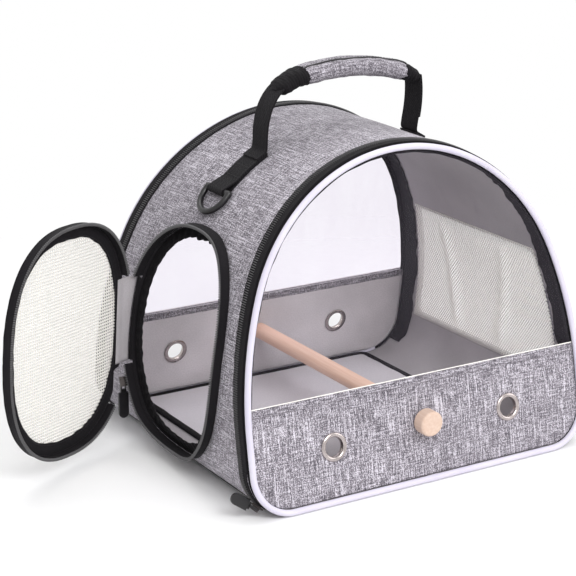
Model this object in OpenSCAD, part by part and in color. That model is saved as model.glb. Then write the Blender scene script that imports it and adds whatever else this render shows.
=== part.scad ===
// Bird travel carrier: an arched fabric tunnel with a zipped clear panel at each end,
// an oval zipped mesh door on the left, a sewn mesh window on the right and a webbing handle.
// Millimetres. +X is right across the front, +Y runs to the back, +Z is up.
// The origin is the middle of the base, on the ground.

/* [Body] */
// Width of the tunnel
body_w = 340; // [320:1:360]
// Height of the tunnel at its crown
body_h = 282; // [270:1:296]
// Depth of the base, from front plane to back plane
body_d = 298; // [280:1:330]
// Lean of each end panel towards the middle, degrees
lean = 10.5; // [7:0.5:13]
// Height of the upright part of the side walls
wall_h = 65; // [50:1:80]
// Radius of the curved part of each side wall
side_r = 322; // [290:1:360]
// Radius of the two bottom corners
corner_r = 38; // [30:1:46]

/* [Wall] */
// Outer fabric
fabric_t = 0.9; // [0.6:0.1:1.4]
// Stiff board between the fabrics
board_t = 1.7; // [1.2:0.1:2.6]
// Lining
lining_t = 0.8; // [0.5:0.1:1.2]

/* [End panels] */
// Height of the fabric band of each end panel
band_h = 90; // [80:1:110]
// Radius of the piping round each end panel
piping_r = 2.7; // [2:0.1:3.2]
// Thickness of the clear window sheet
window_t = 0.8; // [0.5:0.1:1.2]
// Width of the black tape inside the window edge
edge_tape_w = 5; // [3:0.5:9]
// Gap between a panel and the tunnel
panel_gap = 0.3; // [0.2:0.05:0.6]

/* [Zips] */
// Width of the smooth tape on the panel side
tape_w = 7; // [5:0.5:9]
// Width of the toothed chain
chain_w = 4; // [3:0.25:5]
// Width of the tape behind the chain
back_tape_w = 3.5; // [2:0.5:6]
// Thickness of zip tape
tape_t = 0.9; // [0.6:0.1:1.2]
// Width of the black tape sewn inside each rim
inner_tape_w = 20; // [14:1:22]

/* [Eyelets and perch] */
// Distance of each eyelet from the middle
eyelet_x = 89; // [70:1:100]
// Height of the eyelets
eyelet_z = 47; // [40:1:52]
// Outer radius of an eyelet
eyelet_r = 12.2; // [10:0.1:14]
// Hole radius of an eyelet
eyelet_hole_r = 8; // [6:0.1:9]
// Height of the perch
perch_z = 53; // [46:1:60]
// Radius of the perch dowel
dowel_r = 7.5; // [6:0.25:9]
// Radius of the perch knob
knob_r = 11; // [9:0.5:13]
// Length of the perch knob
knob_l = 13; // [10:0.5:15]
// Radius of the perch screw
screw_r = 2; // [1.5:0.1:2.5]

/* [Side door] */
// Half width of the oval
door_a = 80; // [72:1:82]
// Half height of the oval
door_b = 98; // [90:1:100]
// Height of the oval's centre
door_z = 112; // [108:1:116]
// How far the oval's centre lies in front of the middle
door_front = 11; // [4:1:14]
// Height of the collar off the wall, teeth left out
collar_h = 8; // [6:0.5:9]
// Height of the teeth on the collar
collar_teeth = 1.5; // [1:0.1:2]
// Thickness of the collar tape
collar_t = 2; // [1.6:0.1:3]
// Width of the door's black border
door_border = 13; // [10:0.5:16]
// How far the door's outline reaches past the collar's
door_over = 2.5; // [2.3:0.1:3]
// Height of the zip tape that stands on the inner side of the door
door_rim_h = 6.8; // [4:0.2:7.2]
// Thickness of the door's border
door_t = 2.4; // [2:0.1:3.4]
// Width of the binding inside the opening
binding_w = 11; // [8:0.5:13]
// Angle at which the door stands open, degrees
door_open = 62; // [45:1:80]
// Lean of the door's hinge line, degrees
door_lean = 3.5; // [2.5:0.5:4]
// Height of the fabric hinge flap
flap_h = 78; // [60:1:90]
// Pitch of the door net
net_pitch = 11; // [10:0.5:16]
// Width of a strand of the net
net_strand = 1.4; // [1:0.1:2]

/* [Right window] */
// Lower edge of the mesh window
mesh_z0 = 50; // [46:1:60]
// Upper edge of the mesh window
mesh_z1 = 165; // [140:1:175]
// Distance of the mesh window from each rim
mesh_rim = 30; // [28:1:40]

/* [Floor] */
// Distance of the floor board from the curve of each bottom corner
floor_margin = 6; // [4:1:16]
// Thickness of the floor board
floor_t = 2.6; // [2:0.1:4]
// Width of its black binding
floor_bind = 5; // [4:0.5:8]

/* [Handle] */
// Width of the webbing
web_w = 25; // [20:1:26]
// Thickness of the webbing
web_t = 1.5; // [1.2:0.1:2]
// Distance of each lift-off point from the middle
lift_x = 76; // [70:1:84]
// Distance of each loop from the middle
loop_x = 114; // [108:1:118]
// How high the straps carry the grip above their lift-off points
strap_rise = 52; // [46:1:58]
// How far the grip has swayed to the right as it stands
grip_sway = 14.5; // [8:0.5:20]
// How much lower the grip's right end hangs
grip_drop = 6.5; // [3:0.5:9]
// Half length of the padded grip
grip_half = 54; // [48:1:56]
// Rise of the grip's arch
grip_rise = 7; // [5:0.5:9]
// Half thickness of the grip
grip_r = 8.5; // [7:0.25:10]
// Length of each cuff
cuff_l = 13; // [10:0.5:16]
// Radius of the wire of the D-rings
ring_wire_r = 2.7; // [2:0.1:3]
// Inner half width of the D-rings
ring_half = 15; // [13.4:0.1:16]
// Inner depth of the D-rings
ring_deep = 16.5; // [15:0.5:20]

/* [Hidden] */
$fn = 96;
wall_t = fabric_t + board_t + lining_t;
panel_t = 3.2;
rim_start = panel_t + panel_gap;
rim_back = 1.3;
skirt_gap = 0.35;
skirt_t = 0.9;
skirt_z0 = corner_r + 2;
slope = tan(lean);
half_w = body_w / 2;
half_d = body_d / 2;
far = 3 * body_w;
side_cx = half_w - side_r;
side_rise = body_h - wall_h;
crown_r = (side_rise * side_rise + side_cx * side_cx - side_r * side_r) / (2 * (side_rise - side_r));
crown_z = body_h - crown_r;
join_a = atan2(crown_z - wall_h, -side_cx);
panel_in = 2 * piping_r + 0.1;
chain_y0 = rim_back + tape_w + 0.4;
chain_y1 = chain_y0 + chain_w;
chain_top = tape_t + 0.7;
floor_w = body_w - 2 * corner_r - 2 * floor_margin;
floor_z = wall_t;
floor_top = floor_z + floor_t;
floor_d = body_d - 2 * (panel_t + 4);
oval_k = 0.83;
oval_n = 72;
door_y = -door_front;
hinge_y_door = door_y + door_a - collar_t / 2;
knuckle_r = 0.5;
flap_t = 0.8;
collar_top = collar_h + collar_teeth;
hinge_x_door = half_w + collar_top - 1.9;
door_gap = knuckle_r + 0.1;
door_mid = door_a - collar_t / 2;
rim_tape_t = 1.7;
door_row_h = 1.2;
rim_from = -72;
slider_notch = 9.6;
hem_h = 6.7;
hem_t = 0.9;
puller_t = 2.2;
loop_clear = 0.06;

black = [0.12, 0.11, 0.13];
heather = [0.66, 0.64, 0.68];
grey = [0.6, 0.58, 0.61];
white = [0.95, 0.95, 0.96];
metal = [0.55, 0.52, 0.5];
wood = [0.92, 0.78, 0.65];

// Height of the roof at a distance from the middle, moved out by off
function roof_z(x, off = 0) = crown_z + sqrt(pow(crown_r + off, 2) - x * x);

// Points of one arc, ends included
function arc_points(cx, cz, r, a0, a1, steps) =
  [for (i = [0:steps]) let (a = a0 + (a1 - a0) * i / steps) [cx + r * cos(a), cz + r * sin(a)]];

// The closed outline of the tunnel as points, from the right bottom corner round the crown
function outline_points(off) = concat(
  arc_points(half_w - corner_r, corner_r, corner_r + off, -90, 0, 8),
  arc_points(side_cx, wall_h, side_r + off, 0, join_a, 7),
  [for (p = arc_points(0, crown_z, crown_r + off, join_a, 180 - join_a, 32)) if (abs(p[0]) < 0.93 * crown_r) p],
  arc_points(-side_cx, wall_h, side_r + off, 180 - join_a, 180, 7),
  arc_points(corner_r - half_w, corner_r, corner_r + off, 180, 270, 8));

// Outline of the oval door, a superellipse
function oval_points(a, b) = [for (i = [0:oval_n - 1]) let (t = 360 * i / oval_n)
  [a * sign(cos(t)) * pow(abs(cos(t)), oval_k), b * sign(sin(t)) * pow(abs(sin(t)), oval_k)]];

// Outline of the gathered edge inside the opening, an oval with small scallops
function scallop_points(a, b, waves, deep) = [for (i = [0:waves * 6 - 1])
  let (t = 360 * i / (waves * 6), s = 1 - deep * abs(sin(t * waves / 2)))
  [a * s * sign(cos(t)) * pow(abs(cos(t)), oval_k), b * s * sign(sin(t)) * pow(abs(sin(t)), oval_k)]];

// The arched outline of the tunnel, moved out by off
module arch(off = 0) {
  intersection() {
    translate([0, crown_z]) circle(crown_r + off);
    polygon([[0, crown_z], [far * cos(join_a), crown_z + far * sin(join_a)],
      [0, crown_z + far], [-far * cos(join_a), crown_z + far * sin(join_a)]]);
  }
  for (s = [0, 1]) mirror([s, 0]) intersection() {
    translate([side_cx, wall_h]) circle(side_r + off);
    polygon([[side_cx, wall_h], [side_cx + far, wall_h],
      [side_cx + far * cos(join_a), wall_h + far * sin(join_a)]]);
  }
  difference() {
    translate([-half_w - off, -off]) square([body_w + 2 * off, wall_h + off]);
    for (s = [0, 1]) mirror([s, 0]) translate([half_w - corner_r, corner_r]) difference() {
      translate([0, -far]) square(far);
      circle(corner_r + off);
    }
  }
}

// A long bar of that outline
module bar(off = 0) {
  rotate([90, 0, 0]) translate([0, 0, -body_d]) linear_extrude(2 * body_d) arch(off);
}

// A slab parallel to the front plane, from a to b behind it
module front_slab(a, b) {
  low = -30;
  high = body_h + 60;
  rotate([90, 0, 90]) translate([0, 0, -body_w]) linear_extrude(2 * body_w)
    polygon([[a - half_d + low * slope, low], [b - half_d + low * slope, low],
      [b - half_d + high * slope, high], [a - half_d + high * slope, high]]);
}

// The space between the two end planes, each moved in by a
module between_ends(a) {
  low = -30;
  high = body_h + 60;
  rotate([90, 0, 90]) translate([0, 0, -body_w]) linear_extrude(2 * body_w)
    polygon([[a - half_d + low * slope, low], [half_d - a - low * slope, low],
      [half_d - a - high * slope, high], [a - half_d + high * slope, high]]);
}

// Everything above a height
module above(z) {
  translate([-body_w, -body_d, z]) cube([2 * body_w, 2 * body_d, 2 * body_h]);
}

// A layer of the tunnel wall, from outer to inner offset
module wall_layer(outer, inner, a) {
  intersection() {
    difference() {
      bar(outer);
      bar(inner);
    }
    between_ends(a);
  }
}

// A strip that follows the outline near the front rim
module rim_strip(outer, inner, a, b) {
  intersection() {
    difference() {
      bar(outer);
      bar(inner);
    }
    front_slab(a, b);
  }
}

// Places a child on the front plane, its local Z along the outward normal
module on_front(x, z) {
  translate([x, z * slope - half_d, z]) rotate([90 - lean, 0, 0]) children();
}

// Turns a front piece into the back one
module to_back() {
  mirror([0, 1, 0]) children();
}

// A round cord along the closed outline in the plane of the front panel
module rim_cord(off, back, r) {
  pts = [for (p = outline_points(off)) [p[0], p[1] * slope - half_d + back, p[1]]];
  n = len(pts);
  sides = 8;
  normal = [0, cos(lean), -sin(lean)];
  rings = [for (i = [0:n - 1]) let (d = pts[(i + 1) % n] - pts[(i + n - 1) % n],
    t = d / norm(d), b = cross(normal, t)) for (k = [0:sides - 1])
    let (a = 360 * (k + 0.5) / sides) pts[i] + r * (cos(a) * normal + sin(a) * b)];
  polyhedron(rings, [for (i = [0:n - 1]) for (k = [0:sides - 1])
    let (j = (i + 1) % n, m = (k + 1) % sides, p = i * sides, q = j * sides)
    each [[p + k, p + m, q + m], [p + k, q + m, q + k]]]);
}

// The door oval as a prism through the left wall
module door_prism(a, b) {
  translate([0, door_y, door_z]) rotate([90, 0, -90]) linear_extrude(body_w) polygon(oval_points(a, b));
}

// The outline of the right window
module window_outline(grow) {
  z0 = mesh_z0 - grow;
  z1 = mesh_z1 + grow;
  y0 = half_d - mesh_rim + grow;
  polygon([[z0 * slope - y0, z0], [y0 - z0 * slope, z0], [y0 - z1 * slope, z1], [z1 * slope - y0, z1]]);
}

// The right window as a prism through the right wall
module window_prism(grow) {
  rotate([90, 0, 90]) linear_extrude(body_w) window_outline(grow);
}

// Both side openings
module side_openings() {
  door_prism(door_a - collar_t, door_b - collar_t);
  window_prism(0);
}

// A flat net inside an outline: strands along both directions
module net(x0, x1, y0, y1, pitch) {
  intersection() {
    children();
    union() {
      for (i = [ceil(x0 / pitch):floor(x1 / pitch)])
        translate([i * pitch - net_strand / 2, y0 - 1]) square([net_strand, y1 - y0 + 2]);
      for (i = [ceil(y0 / pitch):floor(y1 / pitch)])
        translate([x0 - 1, i * pitch - net_strand / 2]) square([x1 - x0 + 2, net_strand]);
    }
  }
}

module outer_shell() {
  color(heather) difference() {
    wall_layer(0, -fabric_t, rim_start);
    side_openings();
  }
}

module wall_board() {
  color(grey) difference() {
    wall_layer(-fabric_t, -fabric_t - board_t, rim_start);
    side_openings();
  }
}

module inner_lining() {
  color(grey) difference() {
    wall_layer(-fabric_t - board_t, -wall_t, rim_start);
    side_openings();
  }
}

// A flat rounded rectangle
module rounded_plate(w, d, t, r) {
  linear_extrude(t) union() {
    square([w - 2 * r, d], center = true);
    square([w, d - 2 * r], center = true);
    for (sx = [-1, 1], sy = [-1, 1]) translate([sx * (w / 2 - r), sy * (d / 2 - r)]) circle(r);
  }
}

module floor_board() {
  color([0.76, 0.75, 0.76]) translate([0, 0, floor_z]) rounded_plate(floor_w, floor_d, floor_t, 8);
}

module floor_binding() {
  color(black) translate([0, 0, floor_z]) difference() {
    rounded_plate(floor_w + 3, floor_d + 3, floor_t + 0.6, 9.5);
    translate([0, 0, -1]) rounded_plate(floor_w, floor_d, floor_t + 1, 8);
    translate([0, 0, -1]) rounded_plate(floor_w - 2 * floor_bind, floor_d - 2 * floor_bind, floor_t + 3, 4);
  }
}

// Thin piping along the seam between each side and the base
module base_piping() {
  seam_a = 245;
  r = 1.1;
  for (s = [0, 1]) mirror([s, 0, 0]) color(black) intersection() {
    translate([corner_r - half_w + (corner_r + r) * cos(seam_a), 0, corner_r + (corner_r + r) * sin(seam_a)])
      rotate([90, 0, 0]) cylinder(h = body_d, r = r, center = true, $fn = 24);
    between_ends(chain_y1 + back_tape_w + 1);
  }
}

// Rear half of the front zip: tape on the tunnel and the toothed chain on it
module front_rim_zip() {
  color(black) {
    intersection() {
      rim_strip(tape_t, 0, chain_y0, chain_y1 + back_tape_w);
      above(9);
    }
    intersection() {
      rim_strip(chain_top, tape_t, chain_y0, chain_y1);
      above(9);
    }
  }
}

module back_rim_zip() {
  to_back() front_rim_zip();
}

// Black tape sewn inside the rim
module front_rim_tape() {
  color(black) intersection() {
    rim_strip(-wall_t - 0.05, -wall_t - 0.75, rim_start, rim_start + inner_tape_w);
    above(floor_top + 6);
  }
}

module back_rim_tape() {
  to_back() front_rim_tape();
}

// A box round the stretch of the oval where the fabric flap is the hinge
module flap_zone() {
  translate([-body_w, door_y + door_a / 2, door_z - flap_h / 2]) cube([body_w, body_d, flap_h]);
}

// A ring of the oval, from the wall out to a height
module oval_ring(inset, w, from, to) {
  intersection() {
    difference() {
      door_prism(door_a - inset, door_b - inset);
      door_prism(door_a - inset - w, door_b - inset - w);
    }
    difference() {
      bar(to);
      bar(from);
    }
  }
}

module door_collar() {
  color(black) difference() {
    oval_ring(0, collar_t, 0, collar_h);
    flap_zone();
  }
}

module collar_teeth_row() {
  color(black) difference() {
    oval_ring(-0.4, collar_t + 0.8, collar_h, collar_top);
    flap_zone();
  }
}

// Gathered binding that narrows the opening from inside
module opening_binding() {
  color(black) intersection() {
    translate([0, door_y, door_z]) rotate([90, 0, -90]) linear_extrude(body_w) difference() {
      polygon(oval_points(door_a + 2, door_b + 2));
      polygon(scallop_points(door_a - collar_t - binding_w + 2, door_b - collar_t - binding_w + 2, 30, 0.03));
    }
    difference() {
      bar(-wall_t);
      bar(-wall_t - 0.8);
    }
  }
}

// Places a child on the door's hinge line, local Z along it, at the oval's height
module at_door_hinge() {
  translate([-hinge_x_door, hinge_y_door, door_z]) rotate([0, door_lean, 0]) children();
}

// Fabric flap from the wall to the hinge line, rolled at its edge
module hinge_flap() {
  color(grey) intersection() {
    union() {
      at_door_hinge() translate([0, -flap_t / 2, -flap_h]) cube([40, flap_t, 2 * flap_h]);
      at_door_hinge() cylinder(h = 2 * flap_h, r = knuckle_r, center = true, $fn = 24);
    }
    difference() {
      translate([-body_w, hinge_y_door - 3, door_z - flap_h / 2 + 0.3]) cube([body_w, 6, flap_h - 0.6]);
      bar(0);
    }
  }
}

module right_mesh() {
  color(white) intersection() {
    difference() {
      bar(-wall_t);
      bar(-wall_t - 0.6);
    }
    rotate([90, 0, 90]) linear_extrude(body_w) union() {
      net(-half_d, half_d, mesh_z0, mesh_z1, net_pitch) window_outline(0);
      difference() {
        window_outline(4);
        window_outline(0);
      }
    }
  }
}

// Polar angle of a point of the roof at x
function roof_a(x) = acos(x / crown_r);

loop_a = roof_a(-loop_x);
loop_ri = ring_wire_r + loop_clear;
loop_off = web_t + loop_ri;

// Places a child at the D-ring bar of the left side: local X out from the roof, local Z along +Y
module at_left_bar() {
  translate([0, 0, crown_z]) rotate([0, -loop_a, 0]) translate([crown_r + loop_off, 0, 0])
    rotate([-90, 0, 0]) children();
}

// Webbing sewn to the roof on the left, with its loop round the D-ring bar
module left_roof_strap() {
  difference() {
    union() {
      intersection() {
        difference() {
          bar(2 * web_t);
          bar(0);
        }
        translate([-loop_x - 0.6, -web_w / 2, 0]) cube([loop_x - lift_x + 6, web_w, far]);
      }
      at_left_bar() cylinder(h = web_w, r = loop_off, center = true, $fn = 48);
    }
    at_left_bar() cylinder(h = web_w + 2, r = loop_ri, center = true, $fn = 48);
  }
}

module roof_straps() {
  color(black) {
    left_roof_strap();
    mirror([1, 0, 0]) left_roof_strap();
  }
}

// One D-ring, hanging down the slope from its bar: two short legs, closed by half a circle
module left_ring() {
  turned_down = 177;
  leg_y = ring_deep + ring_wire_r - ring_half;
  bend_r = ring_half + ring_wire_r;
  at_left_bar() rotate([0, 0, turned_down]) {
    cylinder(h = 2 * bend_r, r = ring_wire_r, center = true, $fn = 32);
    for (s = [-1, 1]) translate([0, 0, s * bend_r]) {
      rotate([-90, 0, 0]) cylinder(h = leg_y, r = ring_wire_r, $fn = 32);
      sphere(ring_wire_r, $fn = 32);
    }
    translate([0, leg_y, 0]) rotate([90, 0, 90]) intersection() {
      rotate_extrude($fn = 96) translate([bend_r, 0]) circle(ring_wire_r, $fn = 32);
      translate([0, -far / 2, -far / 2]) cube(far);
    }
  }
}

module left_d_ring() {
  color(black) left_ring();
}

module right_d_ring() {
  color(black) mirror([1, 0, 0]) left_ring();
}

// Handle

lift_z = roof_z(lift_x, 2 * web_t) + 2.6;
pivot_r = 2.3;
left_low = [-lift_x, lift_z];
right_low = [lift_x, lift_z];
left_high = [grip_sway - 64.5, lift_z + strap_rise + grip_drop / 2];
right_high = [grip_sway + 64.5, lift_z + strap_rise - grip_drop / 2];

// Points along a bowed strap from a to b, pulled towards c
function bow(a, c, b, n) = [for (i = [0:n]) let (t = i / n)
  (1 - t) * (1 - t) * a + 2 * t * (1 - t) * c + t * t * b];

// The two long edges of a ribbon of thickness t along a line of points
function ribbon(p, t) = let (n = len(p) - 1, side = [for (i = [0:n])
  let (d = p[min(i + 1, n)] - p[max(i - 1, 0)]) [-d[1], d[0]] * t / 2 / norm(d)])
  concat([for (i = [0:n]) p[i] - side[i]], [for (i = [n:-1:0]) p[i] + side[i]]);

// A free strap standing between its pivots
module strap(low, pull, high) {
  color(black) rotate([90, 0, 0]) linear_extrude(web_w, center = true) union() {
    translate(low) circle(pivot_r, $fn = 32);
    translate(high) circle(pivot_r, $fn = 32);
    polygon(ribbon(bow(low, pull, high, 10), web_t));
  }
}

module left_strap() {
  strap(left_low, [left_low[0] - 2, left_low[1] + 43], left_high);
}

module right_strap() {
  strap(right_low, [right_low[0] + 7, right_low[1] + 28], right_high);
}

// The grip's frame: midway between the upper pivots
grip_mid = (left_high + right_high) / 2;
grip_tilt = atan2(left_high[1] - right_high[1], right_high[0] - left_high[0]);
pivot_half = norm(right_high - left_high) / 2;
grip_arc_r = (grip_half * grip_half + grip_rise * grip_rise) / (2 * grip_rise);
grip_arc_a = asin(grip_half / grip_arc_r);

// Places a child in the grip's frame: X along the grip, Z up, origin between the upper pivots
module on_grip() {
  translate([grip_mid[0], 0, grip_mid[1]]) rotate([0, grip_tilt, 0]) children();
}

// A length of the arched grip between two angles from its middle
module grip_piece(a0, a1, half_wide, half_thick) {
  rise0 = grip_rise + 2 - grip_arc_r;
  translate([0, 0, rise0]) rotate([90, 0, 0]) rotate([0, 0, 90 - a1])
    rotate_extrude(angle = a1 - a0, $fn = 180) translate([grip_arc_r, 0]) union() {
      square([2 * half_thick, 2 * half_wide - 2 * half_thick], center = true);
      for (s = [-1, 1]) translate([0, s * (half_wide - half_thick)]) circle(half_thick, $fn = 48);
    }
}

module handle_grip() {
  color(heather) on_grip() grip_piece(-grip_arc_a, grip_arc_a, 15, grip_r);
}

module handle_cuffs() {
  cuff_a = asin((grip_half + cuff_l) / grip_arc_r);
  slot = [9, 60, 40];
  slot_rise = 1.2;
  color(black) on_grip() difference() {
    union() {
      grip_piece(grip_arc_a, cuff_a, 14, grip_r - 1.5);
      grip_piece(-cuff_a, -grip_arc_a, 14, grip_r - 1.5);
    }
    translate([-pivot_half, 0, 0]) rotate([90, 0, 0])
      cylinder(h = 60, r = pivot_r + 0.3, center = true, $fn = 48);
    translate([pivot_half, 0, 0]) rotate([90, 0, 0])
      cylinder(h = 60, r = pivot_r + 1.9, center = true, $fn = 48);
    translate([-pivot_half, 0, slot_rise - slot[2] / 2]) cube(slot, center = true);
    translate([pivot_half, 0, -slot[2] / 2]) cube(slot, center = true);
  }
}

// End panels

// A flat piece of the front panel, inside the piping
module panel_piece(inset, a, b) {
  intersection() {
    bar(-inset);
    front_slab(a, b);
  }
}

// Holes through the front band for the two eyelets
module eyelet_holes(r) {
  for (s = [-1, 1]) on_front(s * eyelet_x, eyelet_z) cylinder(h = 20, r = r, center = true, $fn = 64);
}

module band_layer(a, b, screw_hole) {
  intersection() {
    difference() {
      panel_piece(panel_in, a, b);
      eyelet_holes(eyelet_hole_r + 1.05);
      if (screw_hole) translate([0, -half_d, perch_z]) rotate([90, 0, 0])
        cylinder(h = 60, r = screw_r + 0.3, center = true, $fn = 48);
      above(band_h);
    }
  }
}

// The hem folded over the top edge of the front band
module band_hem() {
  intersection() {
    difference() {
      panel_piece(panel_in, -hem_t, 0.2);
      above(band_h);
    }
    above(band_h - hem_h);
  }
}

module front_band() {
  color(heather) {
    band_layer(0, 1, true);
    band_hem();
  }
}

module front_band_board() {
  color(grey) band_layer(1, 2.6, true);
}

module front_window() {
  color([0.9, 0.9, 0.97, 0.35]) intersection() {
    panel_piece(panel_in, 1, 1 + window_t);
    above(band_h);
  }
}

// Black tape behind the edge of the window
module front_edge_tape() {
  color(black) intersection() {
    rim_strip(-panel_in, -panel_in - edge_tape_w, 1 + window_t, 1 + window_t + 0.8);
    above(band_h);
  }
}

// The panel's rim behind the piping, and the zip tape that laps over the tunnel
module front_zip_skirt() {
  color(black) {
    intersection() {
      rim_strip(0, -panel_in, rim_back, panel_t);
      above(piping_r);
    }
    intersection() {
      rim_strip(skirt_gap + skirt_t, skirt_gap, rim_back, rim_back + tape_w);
      above(skirt_z0);
    }
    intersection() {
      rim_strip(skirt_gap, 0, rim_back, panel_t);
      above(skirt_z0);
    }
  }
}

module front_piping() {
  color(white) rim_cord(-piping_r, rim_back - piping_r / cos(lean) - 0.05, piping_r);
}

// Eyelets: a domed flange, a barrel through the band and a flat ring behind it
module eyelet() {
  barrel_l = 2.6 * cos(lean);
  rotate_extrude($fn = 72) union() {
    translate([eyelet_hole_r, -barrel_l - 1]) square([1, barrel_l + 1.9]);
    translate([eyelet_hole_r + 0.5, 0.05]) square([eyelet_r - eyelet_hole_r - 1.2, 0.85]);
    translate([eyelet_r - 0.9, 0.05]) intersection() {
      circle(0.9, $fn = 32);
      translate([-0.9, 0]) square([1.8, 0.9]);
    }
    translate([eyelet_hole_r, -barrel_l - 1]) square([eyelet_r - eyelet_hole_r - 1.5, 0.9]);
  }
}

module front_eyelets() {
  color(metal) for (s = [-1, 1]) on_front(s * eyelet_x, eyelet_z) eyelet();
}

// Perch: a dowel held through the band by a screw, a washer inside and a knob outside
knob_face_y = half_d - perch_z * slope + (knob_r - 2) * slope + 0.3;
dowel_y = -half_d + perch_z * slope + panel_t + dowel_r * slope + 2.2;
perch_end = half_d - perch_z * slope - panel_t - dowel_r * slope - 1.2;

module perch_screw() {
  color(metal) translate([0, -knob_face_y - knob_l + 4, perch_z]) rotate([-90, 0, 0])
    cylinder(h = knob_l - 4 + knob_face_y + dowel_y + 18, r = screw_r, $fn = 48);
}

module perch_washer() {
  color(metal) translate([0, dowel_y - 1.2, perch_z]) rotate([-90, 0, 0]) difference() {
    cylinder(h = 1.2, r = dowel_r + 1.5, $fn = 64);
    translate([0, 0, -1]) cylinder(h = 4, r = screw_r + 0.05, $fn = 48);
  }
}

module perch_dowel() {
  color(wood) translate([0, dowel_y, perch_z]) rotate([-90, 0, 0]) difference() {
    rotate_extrude($fn = 72) polygon([[0, 0], [dowel_r - 0.8, 0], [dowel_r, 0.8],
      [dowel_r, perch_end - dowel_y - 0.8], [dowel_r - 0.8, perch_end - dowel_y], [0, perch_end - dowel_y]]);
    translate([0, 0, -1]) cylinder(h = 19.2, r = screw_r + 0.02, $fn = 48);
  }
}

module perch_knob() {
  color(wood) translate([0, -knob_face_y, perch_z]) rotate([90, 0, 0]) difference() {
    rotate_extrude($fn = 72) union() {
      square([knob_r - 2, knob_l]);
      translate([0, 2]) square([knob_r, knob_l - 4.5]);
      translate([knob_r - 2, 2]) circle(2, $fn = 48);
      translate([knob_r - 2.5, knob_l - 2.5]) circle(2.5, $fn = 48);
    }
    translate([0, 0, -1]) cylinder(h = knob_l - 3 + 0.2, r = screw_r + 0.05, $fn = 48);
  }
}

module back_band() {
  color(heather) to_back() {
    band_layer(0, 1, false);
    band_hem();
  }
}

module back_band_board() {
  color(grey) to_back() band_layer(1, 2.6, false);
}

module back_window() {
  to_back() front_window();
}

module back_edge_tape() {
  to_back() front_edge_tape();
}

module back_zip_skirt() {
  to_back() front_zip_skirt();
}

module back_piping() {
  to_back() front_piping();
}

module back_eyelets() {
  to_back() front_eyelets();
}

// Side door

// Places a child in the closed door's frame: X from the hinge towards the front, Y up, Z outward
module closed_door() {
  translate([-hinge_x_door, hinge_y_door, door_z]) rotate([0, door_lean, 0]) rotate([90, 0, -90]) children();
}

// The same with the door standing open
module on_door() {
  translate([-hinge_x_door, hinge_y_door, door_z])
    rotate(a = -door_open, v = [sin(door_lean), 0, cos(door_lean)])
      rotate([0, door_lean, 0]) rotate([90, 0, -90]) children();
}

// The oval of the door in its own plane, larger than the collar's by grow
module door_oval(grow) {
  translate([door_mid, 0]) polygon(oval_points(door_a + grow, door_b + grow));
}

// Zip tape that stands on the inner side of the door and goes over the collar, with its row of teeth;
// it leaves the flap and the slider free
module door_rim() {
  difference() {
    union() {
      translate([0, 0, -door_rim_h]) linear_extrude(door_rim_h + 0.3) difference() {
        door_oval(door_over - 0.05);
        door_oval(door_over - rim_tape_t);
      }
      translate([0, 0, -door_rim_h]) linear_extrude(door_row_h) difference() {
        door_oval(door_over + 0.3);
        door_oval(door_over - rim_tape_t - 0.25);
      }
    }
    translate([-body_w, rim_from, -body_w])
      cube([body_w + door_mid / 2, flap_h / 2 + 2 - rim_from, body_w + door_t]);
  }
}

module door_frame() {
  color(black) on_door() {
    linear_extrude(door_t) difference() {
      door_oval(door_over);
      door_oval(door_over - door_border);
      translate([door_gap - body_w, -body_w]) square([body_w, 2 * body_w]);
      translate([slider_notch - body_w, rim_from - 20]) square([body_w, -rim_from + 20 - flap_h / 2 - 4]);
    }
    door_rim();
  }
}

module door_net() {
  a = door_a + door_over - door_border;
  b = door_b + door_over - door_border;
  color(white) on_door() translate([door_mid, 0, door_t / 2 - 0.3]) linear_extrude(0.6)
    net(-a, a, -b, b, net_pitch) polygon(oval_points(a, b));
}

// Sliders: a body over the chain with a bridge, and a puller that swings from it

slider_l = 9;
slider_w = 8;
slider_foot = 0.35;
eye_r = 1.1;

// A slider body, chain side down, eye along local Y
module slider_body() {
  difference() {
    union() {
      translate([-slider_l / 2, -slider_w / 2, slider_foot]) cube([slider_l, slider_w, 1.6 - slider_foot]);
      translate([-2.8, -1.4, 1.5]) cube([5.6, 2.8, 3.6]);
    }
    translate([0, 0, 3.2]) rotate([90, 0, 0]) cylinder(h = 10, r = eye_r + 0.05, center = true, $fn = 32);
  }
}

// A puller hanging along local -Z from its pin on local Y; turn is how far its tab has twisted
module puller_body(w, l, link, turn) {
  rotate([90, 0, 0]) cylinder(h = 5.4, r = eye_r, center = true, $fn = 32);
  for (s = [-1, 1]) translate([-1.1, s * 2.2 - 0.5, -link]) cube([2.2, 1, link]);
  translate([-1.1, -2.7, -link - 1]) cube([2.2, 5.4, 2]);
  rotate([0, 0, turn]) {
    translate([0, 0, w / 2 - l]) rotate([90, 0, 0]) cylinder(h = puller_t, r = w / 2, center = true, $fn = 64);
    translate([-w / 2, -puller_t / 2, w / 2 - l]) cube([w, puller_t, l - w / 2 - link - 2]);
    translate([2 - w / 2, -puller_t / 2, w / 2 - l]) cube([w - 4, puller_t, l - w / 2 - link]);
  }
}

// Half width of the oval at a height from its middle
function oval_half(w) = door_a * pow(1 - pow(abs(w) / door_b, 2 / oval_k), oval_k / 2);

door_slider_w = -flap_h / 2 - 15;
flank_a = atan2(oval_half(door_slider_w + 2) - oval_half(door_slider_w - 2), 4);

// Places a child on the collar's outer flank below the flap: local Z outward, local X down the chain
module at_door_slider() {
  translate([-half_w - collar_top - 0.5, door_y + oval_half(door_slider_w) + 0.3, door_z + door_slider_w])
    rotate([-90 - flank_a, 0, 0]) rotate([0, 0, 90]) children();
}

module door_slider() {
  color(metal) at_door_slider() slider_body();
}

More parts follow.
